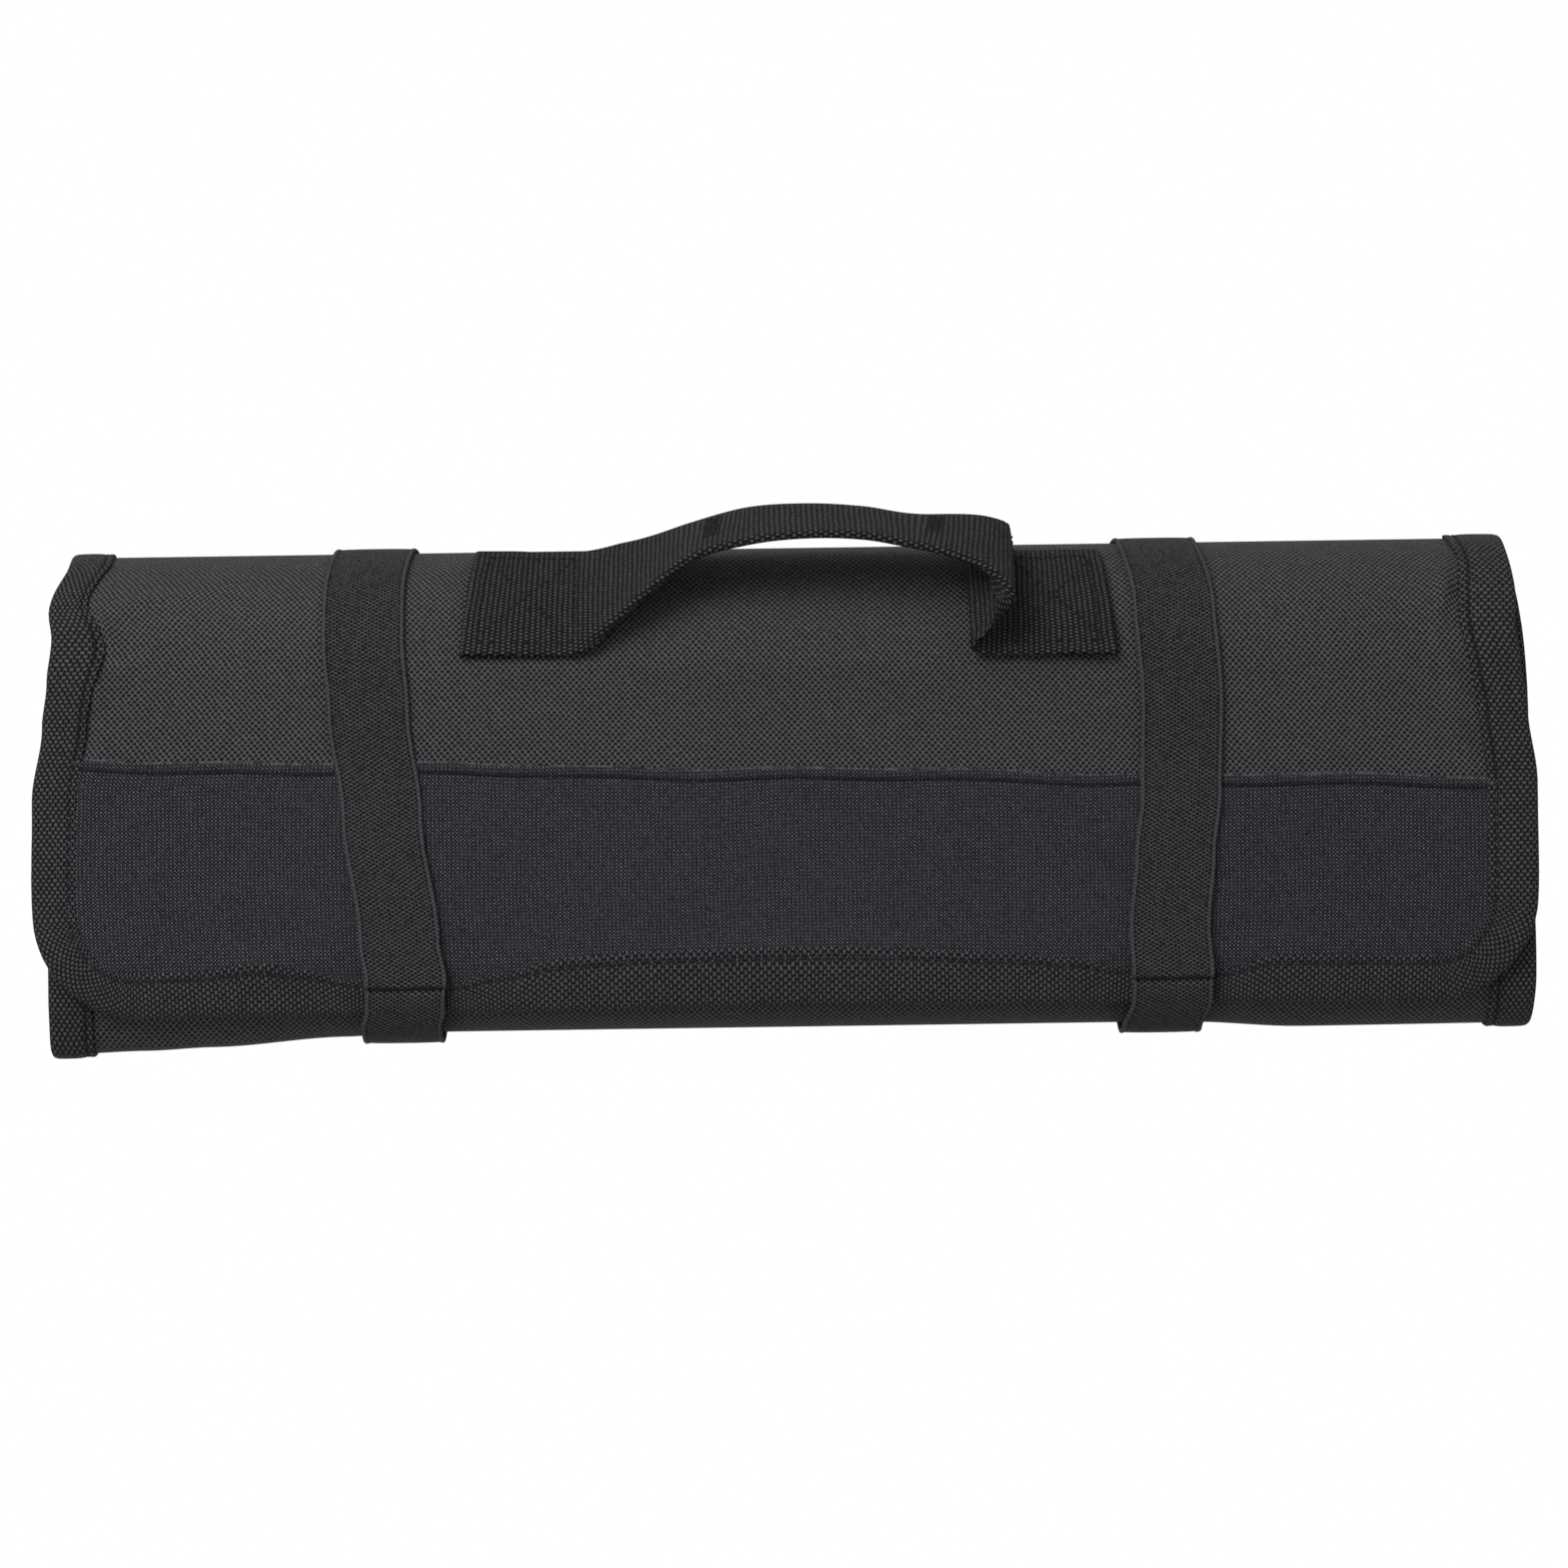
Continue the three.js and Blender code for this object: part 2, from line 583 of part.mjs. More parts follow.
// Stops along the webbing: hem, patch, arch, patch, hem.
function handleStops() {
  const middle = (HANDLE_LEFT + HANDLE_RIGHT) / 2;
  const reach = (HANDLE_RIGHT - HANDLE_LEFT) / 2;
  const turn = (BAND + GAP * 2) / 2;
  const hem = (end, sign) => {
    const stops = [];
    for (const k of [1, 0.5]) {
      stops.push({ x: end + sign * (turn + HANDLE_HEM * k), h: 0 });
    }
    for (let k = 0; k <= 6; k += 1) {
      const a = (k / 6) * Math.PI;
      const x = end + sign * (BAND / 2 + turn - turn * Math.sin(a));
      stops.push({ x, h: turn - turn * Math.cos(a) });
    }
    stops.push({ x: end + sign * HANDLE_HEM * 0.55, h: 2 * turn });
    stops.push({ x: end + sign * (HANDLE_HEM + 1), h: 2 * turn });
    stops.push({ x: end + sign * (HANDLE_HEM + 5), h: 1.5 * turn });
    stops.push({ x: end + sign * (HANDLE_HEM + 8), h: turn });
    return stops.map((p) => ({ ...p, lean: 0, crease: 0.78, roll: 0, flat: 1 }));
  };
  const arch = [];
  const first = -0.73;
  const final = 0.74;
  const count = 56;
  for (let k = 0; k <= count; k += 1) {
    const at = first + ((final - first) * k) / count;
    const h = Math.max(0, curveAt(HANDLE_ROWS, "rise", at)) * HANDLE_RISE;
    arch.push({
      x: middle + at * reach + curveAt(HANDLE_ROWS, "push", at),
      h: h + turn * (1 - ease(0, 6, h)),
      flat: 1 - ease(0, HANDLE_RISE * 0.3, h),
      lean: curveAt(HANDLE_ROWS, "lean", at),
      crease: curveAt(HANDLE_ROWS, "crease", at),
      roll: Math.min(180, Math.max(0, curveAt(HANDLE_ROWS, "roll", at))),
    });
  }
  return [...hem(HANDLE_LEFT, 1), ...arch, ...hem(HANDLE_RIGHT, -1).reverse()];
}

// Middle line of the webbing across its width, folded under itself.
// Gives points as (across, up) pairs from the upper edge to the lower.
function bandLine(crease, roll) {
  const half = BAND_WIDTH / 2;
  const top = half * (1 + crease);
  const under = BAND_WIDTH - top - BAND_FOLD;
  const rad = THREE.MathUtils.degToRad(roll);
  const steps = [
    { len: top / 3, turn: 0 }, { len: top / 3, turn: 0 },
    { len: top / 3, turn: 0 }, { len: BAND_FOLD, turn: rad / 2 },
    { len: under, turn: rad },
  ];
  const line = [];
  let across = half;
  let up = 0;
  line.push([across, up]);
  for (const { len, turn } of steps) {
    across -= len * Math.cos(turn);
    up -= len * Math.sin(turn);
    line.push([across, up]);
  }
  return line;
}

// Thickens a line of points into a closed outline.
function thicken(line, thick) {
  const last = line.length - 1;
  const way = (i) => {
    const a = line[Math.max(0, i)];
    const b = line[Math.min(last, i + 1)];
    const l = Math.hypot(b[0] - a[0], b[1] - a[1]);
    return [(b[0] - a[0]) / l, (b[1] - a[1]) / l];
  };
  const upper = [];
  const lower = [];
  for (let i = 0; i <= last; i += 1) {
    const p = way(Math.max(0, i - 1));
    const q = way(Math.min(last - 1, i));
    const m = [-(p[1] + q[1]), p[0] + q[0]];
    const l = Math.hypot(m[0], m[1]);
    const cos = (m[0] * -p[1] + m[1] * p[0]) / l;
    const d = thick / 2 / Math.max(0.6, cos);
    const [a, b] = line[i];
    upper.push([a - (m[0] / l) * d, b - (m[1] / l) * d]);
    lower.push([a + (m[0] / l) * d, b + (m[1] / l) * d]);
  }
  return [...upper, ...lower.reverse()];
}

// Carrying handle: one webbing, hemmed patches and a folded grip.
function handleWebbing() {
  const stops = handleStops();
  const centre = (p) => {
    const base = beltAt(CLOTH, HANDLE_S);
    const lean = THREE.MathUtils.degToRad(HANDLE_LEAN_DEG) * p.lean;
    const ny = base.ny * Math.cos(lean) + base.nz * Math.sin(lean);
    const nz = base.nz * Math.cos(lean) - base.ny * Math.sin(lean);
    const foot = HALF_WALL + GAP + BAND / 2 + PATCH_CLEAR - FLATTEN / 2;
    return {
      at: new THREE.Vector3(
        p.x,
        base.y + base.ny * foot + ny * p.h,
        base.z + base.nz * foot + nz * p.h,
      ),
      wide: new THREE.Vector3(0, nz, -ny),
    };
  };
  const frames = stops.map(centre);
  const seat = beltAt(CLOTH, HANDLE_S);
  const outward = new THREE.Vector3(0, seat.ny, seat.nz);
  const rings = stops.map((p, i) => {
    const a = frames[Math.max(0, i - 1)].at;
    const b = frames[Math.min(stops.length - 1, i + 1)].at;
    const way = b.clone().sub(a).normalize();
    const wide = frames[i].wide.clone();
    wide.addScaledVector(way, -wide.dot(way)).normalize();
    const up = way.clone().cross(wide).normalize();
    const line = bandLine(p.crease, p.roll);
    return thicken(line, BAND).map(([across, rise]) => frames[i].at.clone()
      .addScaledVector(wide, across)
      .addScaledVector(up, rise)
      .addScaledVector(outward, (-p.flat * across * across) / (2 * PATCH_BEND)));
  });
  return sweep(rings, false);
}

const PIECES = [
  { name: "outer_wrap", make: outerWrap, color: 0x2f2f31 },
  { name: "flap_panel", make: flapPanel, color: 0x2c2a31 },
  { name: "binding_tape", make: bindingTape, color: 0x18181a },
  { name: "strap_left", make: () => strap(STRAP_LEFT_ROWS), color: 0x1d1d20 },
  { name: "strap_right", make: () => strap(STRAP_RIGHT_ROWS), color: 0x1d1d20 },
  { name: "handle_webbing", make: handleWebbing, color: 0x151517 },
];

// All pieces, moved so the middle of the underside is the origin.
function buildRoll() {
  const roll = new THREE.Group();
  roll.name = "chef_knife_roll";
  const box = new THREE.Box3();
  for (const { name, make, color } of PIECES) {
    const geometry = make();
    const material = new THREE.MeshStandardMaterial({ color, roughness: 0.9 });
    const mesh = new THREE.Mesh(geometry, material);
    mesh.name = name;
    geometry.computeBoundingBox();
    box.union(geometry.boundingBox);
    roll.add(mesh);
  }
  const centre = box.getCenter(new THREE.Vector3());
  for (const mesh of roll.children) {
    mesh.geometry.translate(-centre.x, -centre.y, -box.min.z);
    mesh.geometry.computeVertexNormals();
  }
  return roll;
}

export default buildRoll();
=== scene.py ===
"""Chef knife roll: dressed model of the rolled canvas case, in metres."""

import logging
import math
from dataclasses import dataclass, field
from enum import Enum
from typing import Sequence

import bmesh
import bpy
import numpy as np
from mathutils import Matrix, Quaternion, Vector, noise


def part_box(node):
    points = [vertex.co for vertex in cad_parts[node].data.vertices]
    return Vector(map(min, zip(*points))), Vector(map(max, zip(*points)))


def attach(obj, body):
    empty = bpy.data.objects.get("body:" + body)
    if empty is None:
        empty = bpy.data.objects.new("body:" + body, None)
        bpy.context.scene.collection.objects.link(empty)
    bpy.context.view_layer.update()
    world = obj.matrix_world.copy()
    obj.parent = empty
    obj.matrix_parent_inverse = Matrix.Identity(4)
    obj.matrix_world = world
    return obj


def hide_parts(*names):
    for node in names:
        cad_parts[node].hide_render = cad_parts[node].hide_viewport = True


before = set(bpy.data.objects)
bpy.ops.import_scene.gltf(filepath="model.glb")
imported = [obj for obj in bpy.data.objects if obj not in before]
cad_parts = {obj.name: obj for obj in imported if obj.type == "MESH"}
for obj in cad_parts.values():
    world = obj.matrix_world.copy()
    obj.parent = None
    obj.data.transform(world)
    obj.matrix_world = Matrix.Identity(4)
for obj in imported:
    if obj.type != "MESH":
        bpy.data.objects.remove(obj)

logging.basicConfig(level=logging.INFO, format="%(message)s")
log = logging.getLogger("knife_roll")

MM = 0.001
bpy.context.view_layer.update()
Row = dict[str, float]


# Shader maths.


class Field:
    """A shader value that takes part in ordinary arithmetic."""

    def __init__(self, tree: "Shader", socket: bpy.types.NodeSocket) -> None:
        """Wraps one output socket.

        Args:
            tree: The shader the socket belongs to.
            socket: The output to wrap.
        """
        self.tree = tree
        self.socket = socket

    def _math(self, operation: str, *others: "Field | float") -> "Field":
        """Adds one Math node.

        Args:
            operation: The Math node's operation.
            others: Its further inputs.

        Returns:
            The node's result.
        """
        return self.tree.math(operation, self, *others)

    def __add__(self, other: "Field | float") -> "Field":
        """Returns the sum."""
        return self._math("ADD", other)

    __radd__ = __add__

    def __sub__(self, other: "Field | float") -> "Field":
        """Returns the difference."""
        return self._math("SUBTRACT", other)

    def __rsub__(self, other: "Field | float") -> "Field":
        """Returns the reversed difference."""
        return self.tree.math("SUBTRACT", other, self)

    def __mul__(self, other: "Field | float") -> "Field":
        """Returns the product."""
        return self._math("MULTIPLY", other)

    __rmul__ = __mul__

    def __truediv__(self, other: "Field | float") -> "Field":
        """Returns the quotient."""
        return self._math("DIVIDE", other)

    def __rtruediv__(self, other: "Field | float") -> "Field":
        """Returns the reversed quotient."""
        return self.tree.math("DIVIDE", other, self)

    def __pow__(self, other: "Field | float") -> "Field":
        """Returns the power."""
        return self._math("POWER", other)

    def __neg__(self) -> "Field":
        """Returns the negative."""
        return self._math("MULTIPLY", -1.0)

    def __abs__(self) -> "Field":
        """Returns the size without its sign."""
        return self._math("ABSOLUTE")

    def wave(self) -> "Field":
        """Returns the cosine of the value counted in turns."""
        return (self * math.tau)._math("COSINE")

    def top(self, other: "Field | float") -> "Field":
        """Returns the larger of the two."""
        return self._math("MAXIMUM", other)

    def low(self, other: "Field | float") -> "Field":
        """Returns the smaller of the two."""
        return self._math("MINIMUM", other)

    def whole(self) -> "Field":
        """Returns the value rounded down."""
        return self._math("FLOOR")

    def span(self, start: float, end: float) -> "Field":
        """Returns 0 to 1 as the value goes from start to end, clamped."""
        made = (self - start) / (end - start)
        return made.top(0.0).low(1.0)


class Shader:
    """One material's node tree."""

    def __init__(self, name: str) -> None:
        """Starts an empty material.

        Args:
            name: The material's name.
        """
        self.material = bpy.data.materials.new(name)
        self.material.use_nodes = True
        self.tree = self.material.node_tree
        self.tree.nodes.clear()

    def node(self, kind: str, settings: dict | None = None, values: dict | None = None) -> bpy.types.Node:
        """Adds a node.

        Args:
            kind: The node type.
            settings: Attributes to set on it.
            values: Socket name or index to a value, a Field or a socket.

        Returns:
            The new node.
        """
        made = self.tree.nodes.new(kind)
        for key, value in (settings or {}).items():
            setattr(made, key, value)
        for key, value in (values or {}).items():
            socket = made.inputs[key]
            if isinstance(value, Field):
                value = value.socket
            if isinstance(value, bpy.types.NodeSocket):
                self.tree.links.new(value, socket)
            else:
                socket.default_value = value
        return made

    def math(self, operation: str, *inputs: Field | float) -> Field:
        """Adds a Math node and returns its result."""
        made = self.node("ShaderNodeMath", {"operation": operation}, dict(enumerate(inputs)))
        return Field(self, made.outputs[0])

    def mix(self, factor: Field | float, low: Sequence[float] | bpy.types.NodeSocket,
            high: Sequence[float] | bpy.types.NodeSocket) -> bpy.types.NodeSocket:
        """Mixes two colours.

        Args:
            factor: 0 gives low, 1 gives high.
            low: First colour.
            high: Second colour.

        Returns:
            The mixed colour's socket.
        """
        made = self.node("ShaderNodeMix", {"data_type": "RGBA"}, {0: factor, 6: low, 7: high})
        return made.outputs[2]

    def uv(self) -> tuple[Field, Field]:
        """Reads the piece's flat position.

        Returns:
            Flat u and v in millimetres.
        """
        place = self.node("ShaderNodeUVMap", {"uv_map": "flat_mm"})
        parts = self.node("ShaderNodeSeparateXYZ", values={0: place.outputs[0]})
        return Field(self, parts.outputs[0]), Field(self, parts.outputs[1])

    def noise(self, u: Field, v: Field, size: float, detail: float = 2.0) -> Field:
        """Returns seeded noise over the flat position.

        Args:
            u: Position along.
            v: Position across.
            size: Feature size in millimetres.
            detail: Octaves.

        Returns:
            Noise about 0, mostly within a half either way.
        """
        place = self.node("ShaderNodeCombineXYZ", values={0: u / size, 1: v / size, 2: 0.37})
        made = self.node("ShaderNodeTexNoise", values={
            "Vector": place.outputs[0],
            "Scale": 1.0,
            "Detail": detail,
        })
        return Field(self, made.outputs[0]) - 0.5


# Finishes.


class Weave(Enum):
    """The kinds of cloth surface on the roll."""

    PITTED = "coarse canvas with staggered dark pits"
    DOTTED = "finer canvas with bright dots"
    DASHED = "woven elastic with staggered dashes"
    BASKET = "binding with small square blocks"
    RIBBED = "webbing with ribs across its length"
    THREAD = "sewing thread"


@dataclass(frozen=True)
class Cloth:
    """One cloth finish.

    Attributes:
        name: Material name.
        weave: Surface kind.
        pitch: Size of one weave cell along u and v, in millimetres.
        dark: Colour down between the yarns, which is painted shade in the gaps.
        light: Colour on the yarns, which is painted highlight on the yarn tops.
        relief: Depth of the weave in millimetres.
        rough: Roughness.
        sheen: Sheen weight.
        patch: How strongly the colour varies over the cloth.
        bite: Power that deepens the dark places, and so the painted shade between the yarns.
        seam: Whether the cloth has the flap's turned and sewn top edge, which gets a painted highlight along
            its fold and painted shade along its stitch line.
        groove: Place of a sewn line across the tape, darkened with painted shade, or 0; the tape's inner edge
            gets painted shade too.
        border: Distance of a raised line either side of the middle, which gets a painted highlight with
            painted shade just inside it, or 0.
    """

    name: str
    weave: Weave
    pitch: tuple[float, float]
    dark: tuple[float, float, float]
    light: tuple[float, float, float]
    relief: float
    rough: float = 0.82
    sheen: float = 0.0
    patch: float = 0.12
    bite: float = 1.3
    seam: bool = False
    groove: float = 0.0
    border: float = 0.0

    def height(self, shader: Shader, u: Field, v: Field) -> Field:
        """Returns the yarn height from 0 to 1 for this weave.

        Args:
            shader: The shader being built.
            u: Position along, in millimetres.
            v: Position across, in millimetres.

        Returns:
            Height field.
        """
        drift = shader.noise(u, v, 9.0)
        jitter = shader.noise(v, u, 1.6, 3.0)
        a = (u + drift * 0.9 + jitter * 0.45) / self.pitch[0]
        b = (v + drift * 0.7 + jitter * 0.45) / self.pitch[1]
        if self.weave is Weave.PITTED:
            pits = a.wave() * b.wave()
            rows = (b * 2.0).wave()
            return 1.0 - (pits * 0.62 + rows * 0.14 + 0.30).span(-0.05, 0.8)
        if self.weave is Weave.DOTTED:
            return (a.wave() * b.wave() * 0.75 + a.wave() * 0.1 + b.wave() * 0.12 + 0.36).span(0.0, 0.86)
        if self.weave is Weave.DASHED:
            pits = a.wave() * b.wave()
            return 1.0 - (pits * 0.8 + (b * 2.0).wave() * 0.22 + 0.22).span(-0.05, 0.62)
        if self.weave is Weave.BASKET:
            brick = b + a.whole() * 0.5
            ridge = abs((a * 0.5 - 0.25).wave()) ** 0.32
            return ridge * (brick.wave() * 0.9 + 1.0).span(0.0, 1.0)
        if self.weave is Weave.RIBBED:
            brick = b + a.whole() * 0.5
            ridge = abs((a * 0.5 - 0.25).wave()) ** 0.7
            return ridge * (brick.wave() * 0.7 + 0.7).span(0.0, 1.0)
        return (a.wave() * 0.5 + 0.5)

    def material(self) -> bpy.types.Material:
        """Builds the finish.

        Returns:
            The finished material.
        """
        shader = Shader(self.name)
        u, v = shader.uv()
        height = self.height(shader, u, v)
        cloud = shader.noise(u, v, 34.0, 3.0) * self.patch
        lint = shader.noise(u, v, 0.9, 2.0)
        fibre = shader.noise(u * 1.7, v * 0.6, 0.5, 1.0)
        worn = 1.0 + shader.noise(u, v, 3.0, 3.0) * 0.22
        fuzz = (lint * 0.9 + fibre * 0.5) * (height * 0.75 + 0.25)
        # The weave height sets the tone: painted shade down between the yarns and painted highlight, the
        # bright dots and dashes, on the yarn tops; cloud, lint and wear vary it at random.
        tone = (height * worn * (1.0 + cloud) + fuzz).top(0.0).low(1.6)
        tone = tone ** self.bite
        if self.seam:
            slant = (S.facing_right - S.facing_left) / S.length
            near = v - u * slant - (S.facing_left + S.facing_right) / 2
            # edge: painted highlight in broken dashes along the fold of the turned top edge.
            edge = (near + 0.75).span(0.0, 0.35) * (1.0 - (near - 0.1).span(0.0, 0.3))
            # line: painted shade along the topstitch groove, about 3 to 4 mm below the seam.
            line = (near + 4.3).span(0.0, 0.5) * (1.0 - (near + 3.1).span(0.0, 0.5))
            tone = tone * (1.0 - line * 0.7) + edge * (shader.noise(u, v, 2.4).span(-0.1, 0.1) * 0.55)
        if self.groove:
            # Painted shade along the sewn groove and along the tape's inner edge, where the tape meets the
            # cloth.
            sewn = abs(v - self.groove).span(0.1, 0.9) * 0.7 + 0.3
            tone = tone * sewn * (abs(v).span(0.2, 1.1) * 0.7 + 0.3)
        if self.border:
            # Painted highlight on the band's raised edge line and painted shade just inside it.
            raised = 1.0 - abs(abs(v) - self.border).span(0.15, 0.55)
            beside = 1.0 - abs(abs(v) - self.border + 0.85).span(0.1, 0.5)
            tone = tone * (1.0 - beside * 0.6) + raised * 0.7
        colour = shader.mix(tone, (*self.dark, 1.0), (*self.light, 1.0))
        bump = shader.node("ShaderNodeBump", values={
            "Strength": 1.0,
            "Distance": self.relief * MM,
            "Height": height + lint * 0.18,
        })
        surface = shader.node("ShaderNodeBsdfPrincipled", values={
            "Base Color": colour,
            "Roughness": self.rough,
            "Sheen Weight": self.sheen,
            "Sheen Roughness": 0.5,
            "Specular IOR Level": 0.12,
            "Normal": bump.outputs[0],
        })
        shader.node("ShaderNodeOutputMaterial", values={0: surface.outputs[0]})
        return shader.material


UPPER_CANVAS = Cloth("upper_canvas", Weave.PITTED, (1.9, 1.97),
                     (0.0004, 0.0004, 0.0004), (0.040, 0.040, 0.040), 0.60, bite=1.35)
PANEL_CANVAS = Cloth("panel_canvas", Weave.DOTTED, (1.24, 1.06),
                     (0.0004, 0.0003, 0.0006), (0.068, 0.061, 0.077), 0.60, bite=2.5, seam=True)
ELASTIC = Cloth("woven_elastic", Weave.DASHED, (1.25, 2.15),
                (0.0002, 0.0002, 0.0003), (0.033, 0.032, 0.035), 1.30, bite=4.4, border=11.7)
BINDING = Cloth("binding_tape", Weave.BASKET, (1.2, 1.75),
                (0.0003, 0.0003, 0.0004), (0.034, 0.033, 0.036), 0.90, bite=2.1, groove=3.1)
WEBBING = Cloth("handle_webbing", Weave.RIBBED, (1.62, 1.05),
                (0.0003, 0.0003, 0.0004), (0.039, 0.038, 0.041), 1.0, bite=2.1)
THREAD = Cloth("sewing_thread", Weave.THREAD, (0.5, 0.5),
               (0.001, 0.001, 0.0012), (0.009, 0.008, 0.010), 0.05)


# Shape of the rolled cloth, in millimetres.


@dataclass(frozen=True)
class RollSizes:
    """Named sizes of the roll, in millimetres."""

    length: float = 457.0
    depth: float = 150.0
    height: float = 76.0
    nose_radius: float = 19.0
    layer_pitch: float = 7.0
    tuck_radius: float = 15.2
    tuck_forward: float = 0.6
    flap_drop: float = math.radians(16)
    bend_radius: float = 26.0
    bend_back: float = 9.0
    nose_flare: float = 5.0
    inner_tail: float = 22.0
    corner: float = 30.0
    wall: float = 2.6
    gap: float = 0.3
    facing: float = 0.6
    tape: float = 0.9
    leg: float = 12.5
    facing_left: float = 79.0
    facing_right: float = 67.0
    strap_width: float = 25.0
    strap: float = 1.2
    strap_clear: float = 0.25
    strap_ease: float = 0.4
    strap_sink: float = 1.2
    band_width: float = 38.0
    band: float = 1.6
    band_fold: float = 2.4
    handle_round: float = math.radians(33)
    handle_left: float = -96.0
    handle_right: float = 100.0
    hem: float = 14.0
    rise: float = 22.5
    lean: float = math.radians(16)
    patch_bend: float = 60.0
    flatten: float = 1.8
    patch_clear: float = 0.35


S = RollSizes()


def rows(columns: str, text: str) -> list[Row]:
    """Reads a small table.

    Args:
        columns: Column names.
        text: Rows split by semicolons, values by spaces.

    Returns:
        A dictionary for each row.
    """
    names = columns.split()
    return [dict(zip(names, map(float, line.split()))) for line in text.split(";")]


def ease(start: float, end: float, value: float) -> float:
    """Returns a smooth step from 0 to 1 as value goes from start to end."""
    t = min(1.0, max(0.0, (value - start) / (end - start)))
    return t * t * (3 - 2 * t)


def table_at(table: list[Row], column: str, value: float) -> float:
    """Reads a column of a table at a value of its first column, eased.

    Args:
        table: Rows with an "at" column, in order.
        column: Name of the column to read.
        value: Place along "at".

    Returns:
        The eased value.
    """
    if value <= table[0]["at"]:
        return table[0][column]
    for a, b in zip(table, table[1:]):
        if value <= b["at"]:
            return a[column] + (b[column] - a[column]) * ease(a["at"], b["at"], value)
    return table[-1][column]


def curve_at(table: list[Row], column: str, value: float) -> float:
    """Reads a column of a table as a smooth curve.

    Args:
        table: Rows with an "at" column, in order.
        column: Name of the column to read.
        value: Place along "at".

    Returns:
        The value on the curve.
    """
    last = len(table) - 1
    i = 0
    while i < last - 1 and value > table[i + 1]["at"]:
        i += 1

    def slope(k: int) -> float:
        """Finds the column's slope at a row.

        Args:
            k: Row number.

        Returns:
            The slope, level at both ends.
        """
        if k <= 0 or k >= last:
            return 0.0
        a, b = table[k - 1], table[k + 1]
        return (b[column] - a[column]) / (b["at"] - a["at"])

    a, b = table[i], table[i + 1]
    width = b["at"] - a["at"]
    t = (value - a["at"]) / width
    return (a[column] * (2 * t**3 - 3 * t * t + 1) + b[column] * (3 * t * t - 2 * t**3)
            + slope(i) * width * (t**3 - 2 * t * t + t) + slope(i + 1) * width * (t**3 - t * t))


@dataclass
class Circle:
    """One circle the cloth is rolled round."""

    y: float
    z: float
    r: float


@dataclass
class Piece:
    """An arc or straight run of a belt."""

    arc: bool
    circle: Circle
    start: float
    s: float
    length: float


def run_angle(a: Circle, b: Circle) -> float:
    """Returns the angle of the outward normal of the run from a to b."""
    dy, dz = b.y - a.y, b.z - a.z
    return math.atan2(dz, dy) + math.acos((a.r - b.r) / math.hypot(dy, dz))


class Belt:
    """A line wound round circles by arcs and straight runs."""

    def __init__(self, circles: Sequence[Circle], start: float, lead: float, tail: float) -> None:
        """Winds the belt.

        Args:
            circles: Circles in order.
            start: Angle of the first normal.
            lead: Straight length before the first arc.
            tail: Length left off before the last circle.
        """
        self.pieces: list[Piece] = []
        angle, s = start, lead
        for i, (a, b) in enumerate(zip(circles, circles[1:])):
            after = run_angle(a, b)
            while after > angle:
                after -= math.tau
            self.pieces.append(Piece(True, a, angle, s, a.r * (angle - after)))
            s += a.r * (angle - after)
            dy = b.y - a.y + (b.r - a.r) * math.cos(after)
            dz = b.z - a.z + (b.r - a.r) * math.sin(after)
            length = math.hypot(dy, dz) - (tail if i + 2 == len(circles) else 0.0)
            self.pieces.append(Piece(False, a, after, s, length))
            s += length
            angle = after
        self.total = s

    def at(self, s: float) -> tuple[float, float, float, float]:
        """Finds a place on the belt.

        Args:
            s: Distance along the belt.

        Returns:
            The place's y and z and the outward normal's y and z.
        """
        piece = self.pieces[0]
        for p in self.pieces:
            if p.s <= s:
                piece = p
        along = s - piece.s
        turning = piece.arc and along > 0
        angle = piece.start - along / piece.circle.r if turning else piece.start
        ny, nz = math.cos(angle), math.sin(angle)
        slide = 0.0 if turning else along
        c = piece.circle
        return c.y + c.r * ny + slide * nz, c.z + c.r * nz - slide * ny, ny, nz


SIDE_ROWS = rows("at left right", """
0 .0035 .004; .12 0 0; .2 .001 0; .27 .0085 .006; .31 .012 .01; .35 .015 .013;
.38 .012 .011; .44 .02 .012; .58 .012 .006; .8 .006 .002; 1 .003 .001;
1.12 .0075 0; 1.35 .01 .003; 1.5 .016 .008; 1.9 .016 .008""")
FLAP_ROWS = rows("at lift draw", """
-.5 .04 0; -.3 0 .05; -.22 0 .05; .02 .32 .2; .225 0 .05; .295 0 .05; .5 .04 0""")
FLARE_ROWS = rows("at flare", """
-.5 1.1; -.435 .92; -.39 .75; -.3 .22; -.26 .04; -.22 0; .22 0; .27 .04;
.345 .4; .5 .35""")


@dataclass(frozen=True)
class Crease:
    """One fold or pucker in the cloth.

    Attributes:
        x: Middle along the roll.
        s: Middle along the cloth, from the free edge.
        turn: Direction of its length, in degrees from the roll's length.
        length: Half length.
        width: Half width.
        height: Outward height, negative for a hollow.
    """

    x: float
    s: float
    turn: float
    length: float
    width: float
    height: float


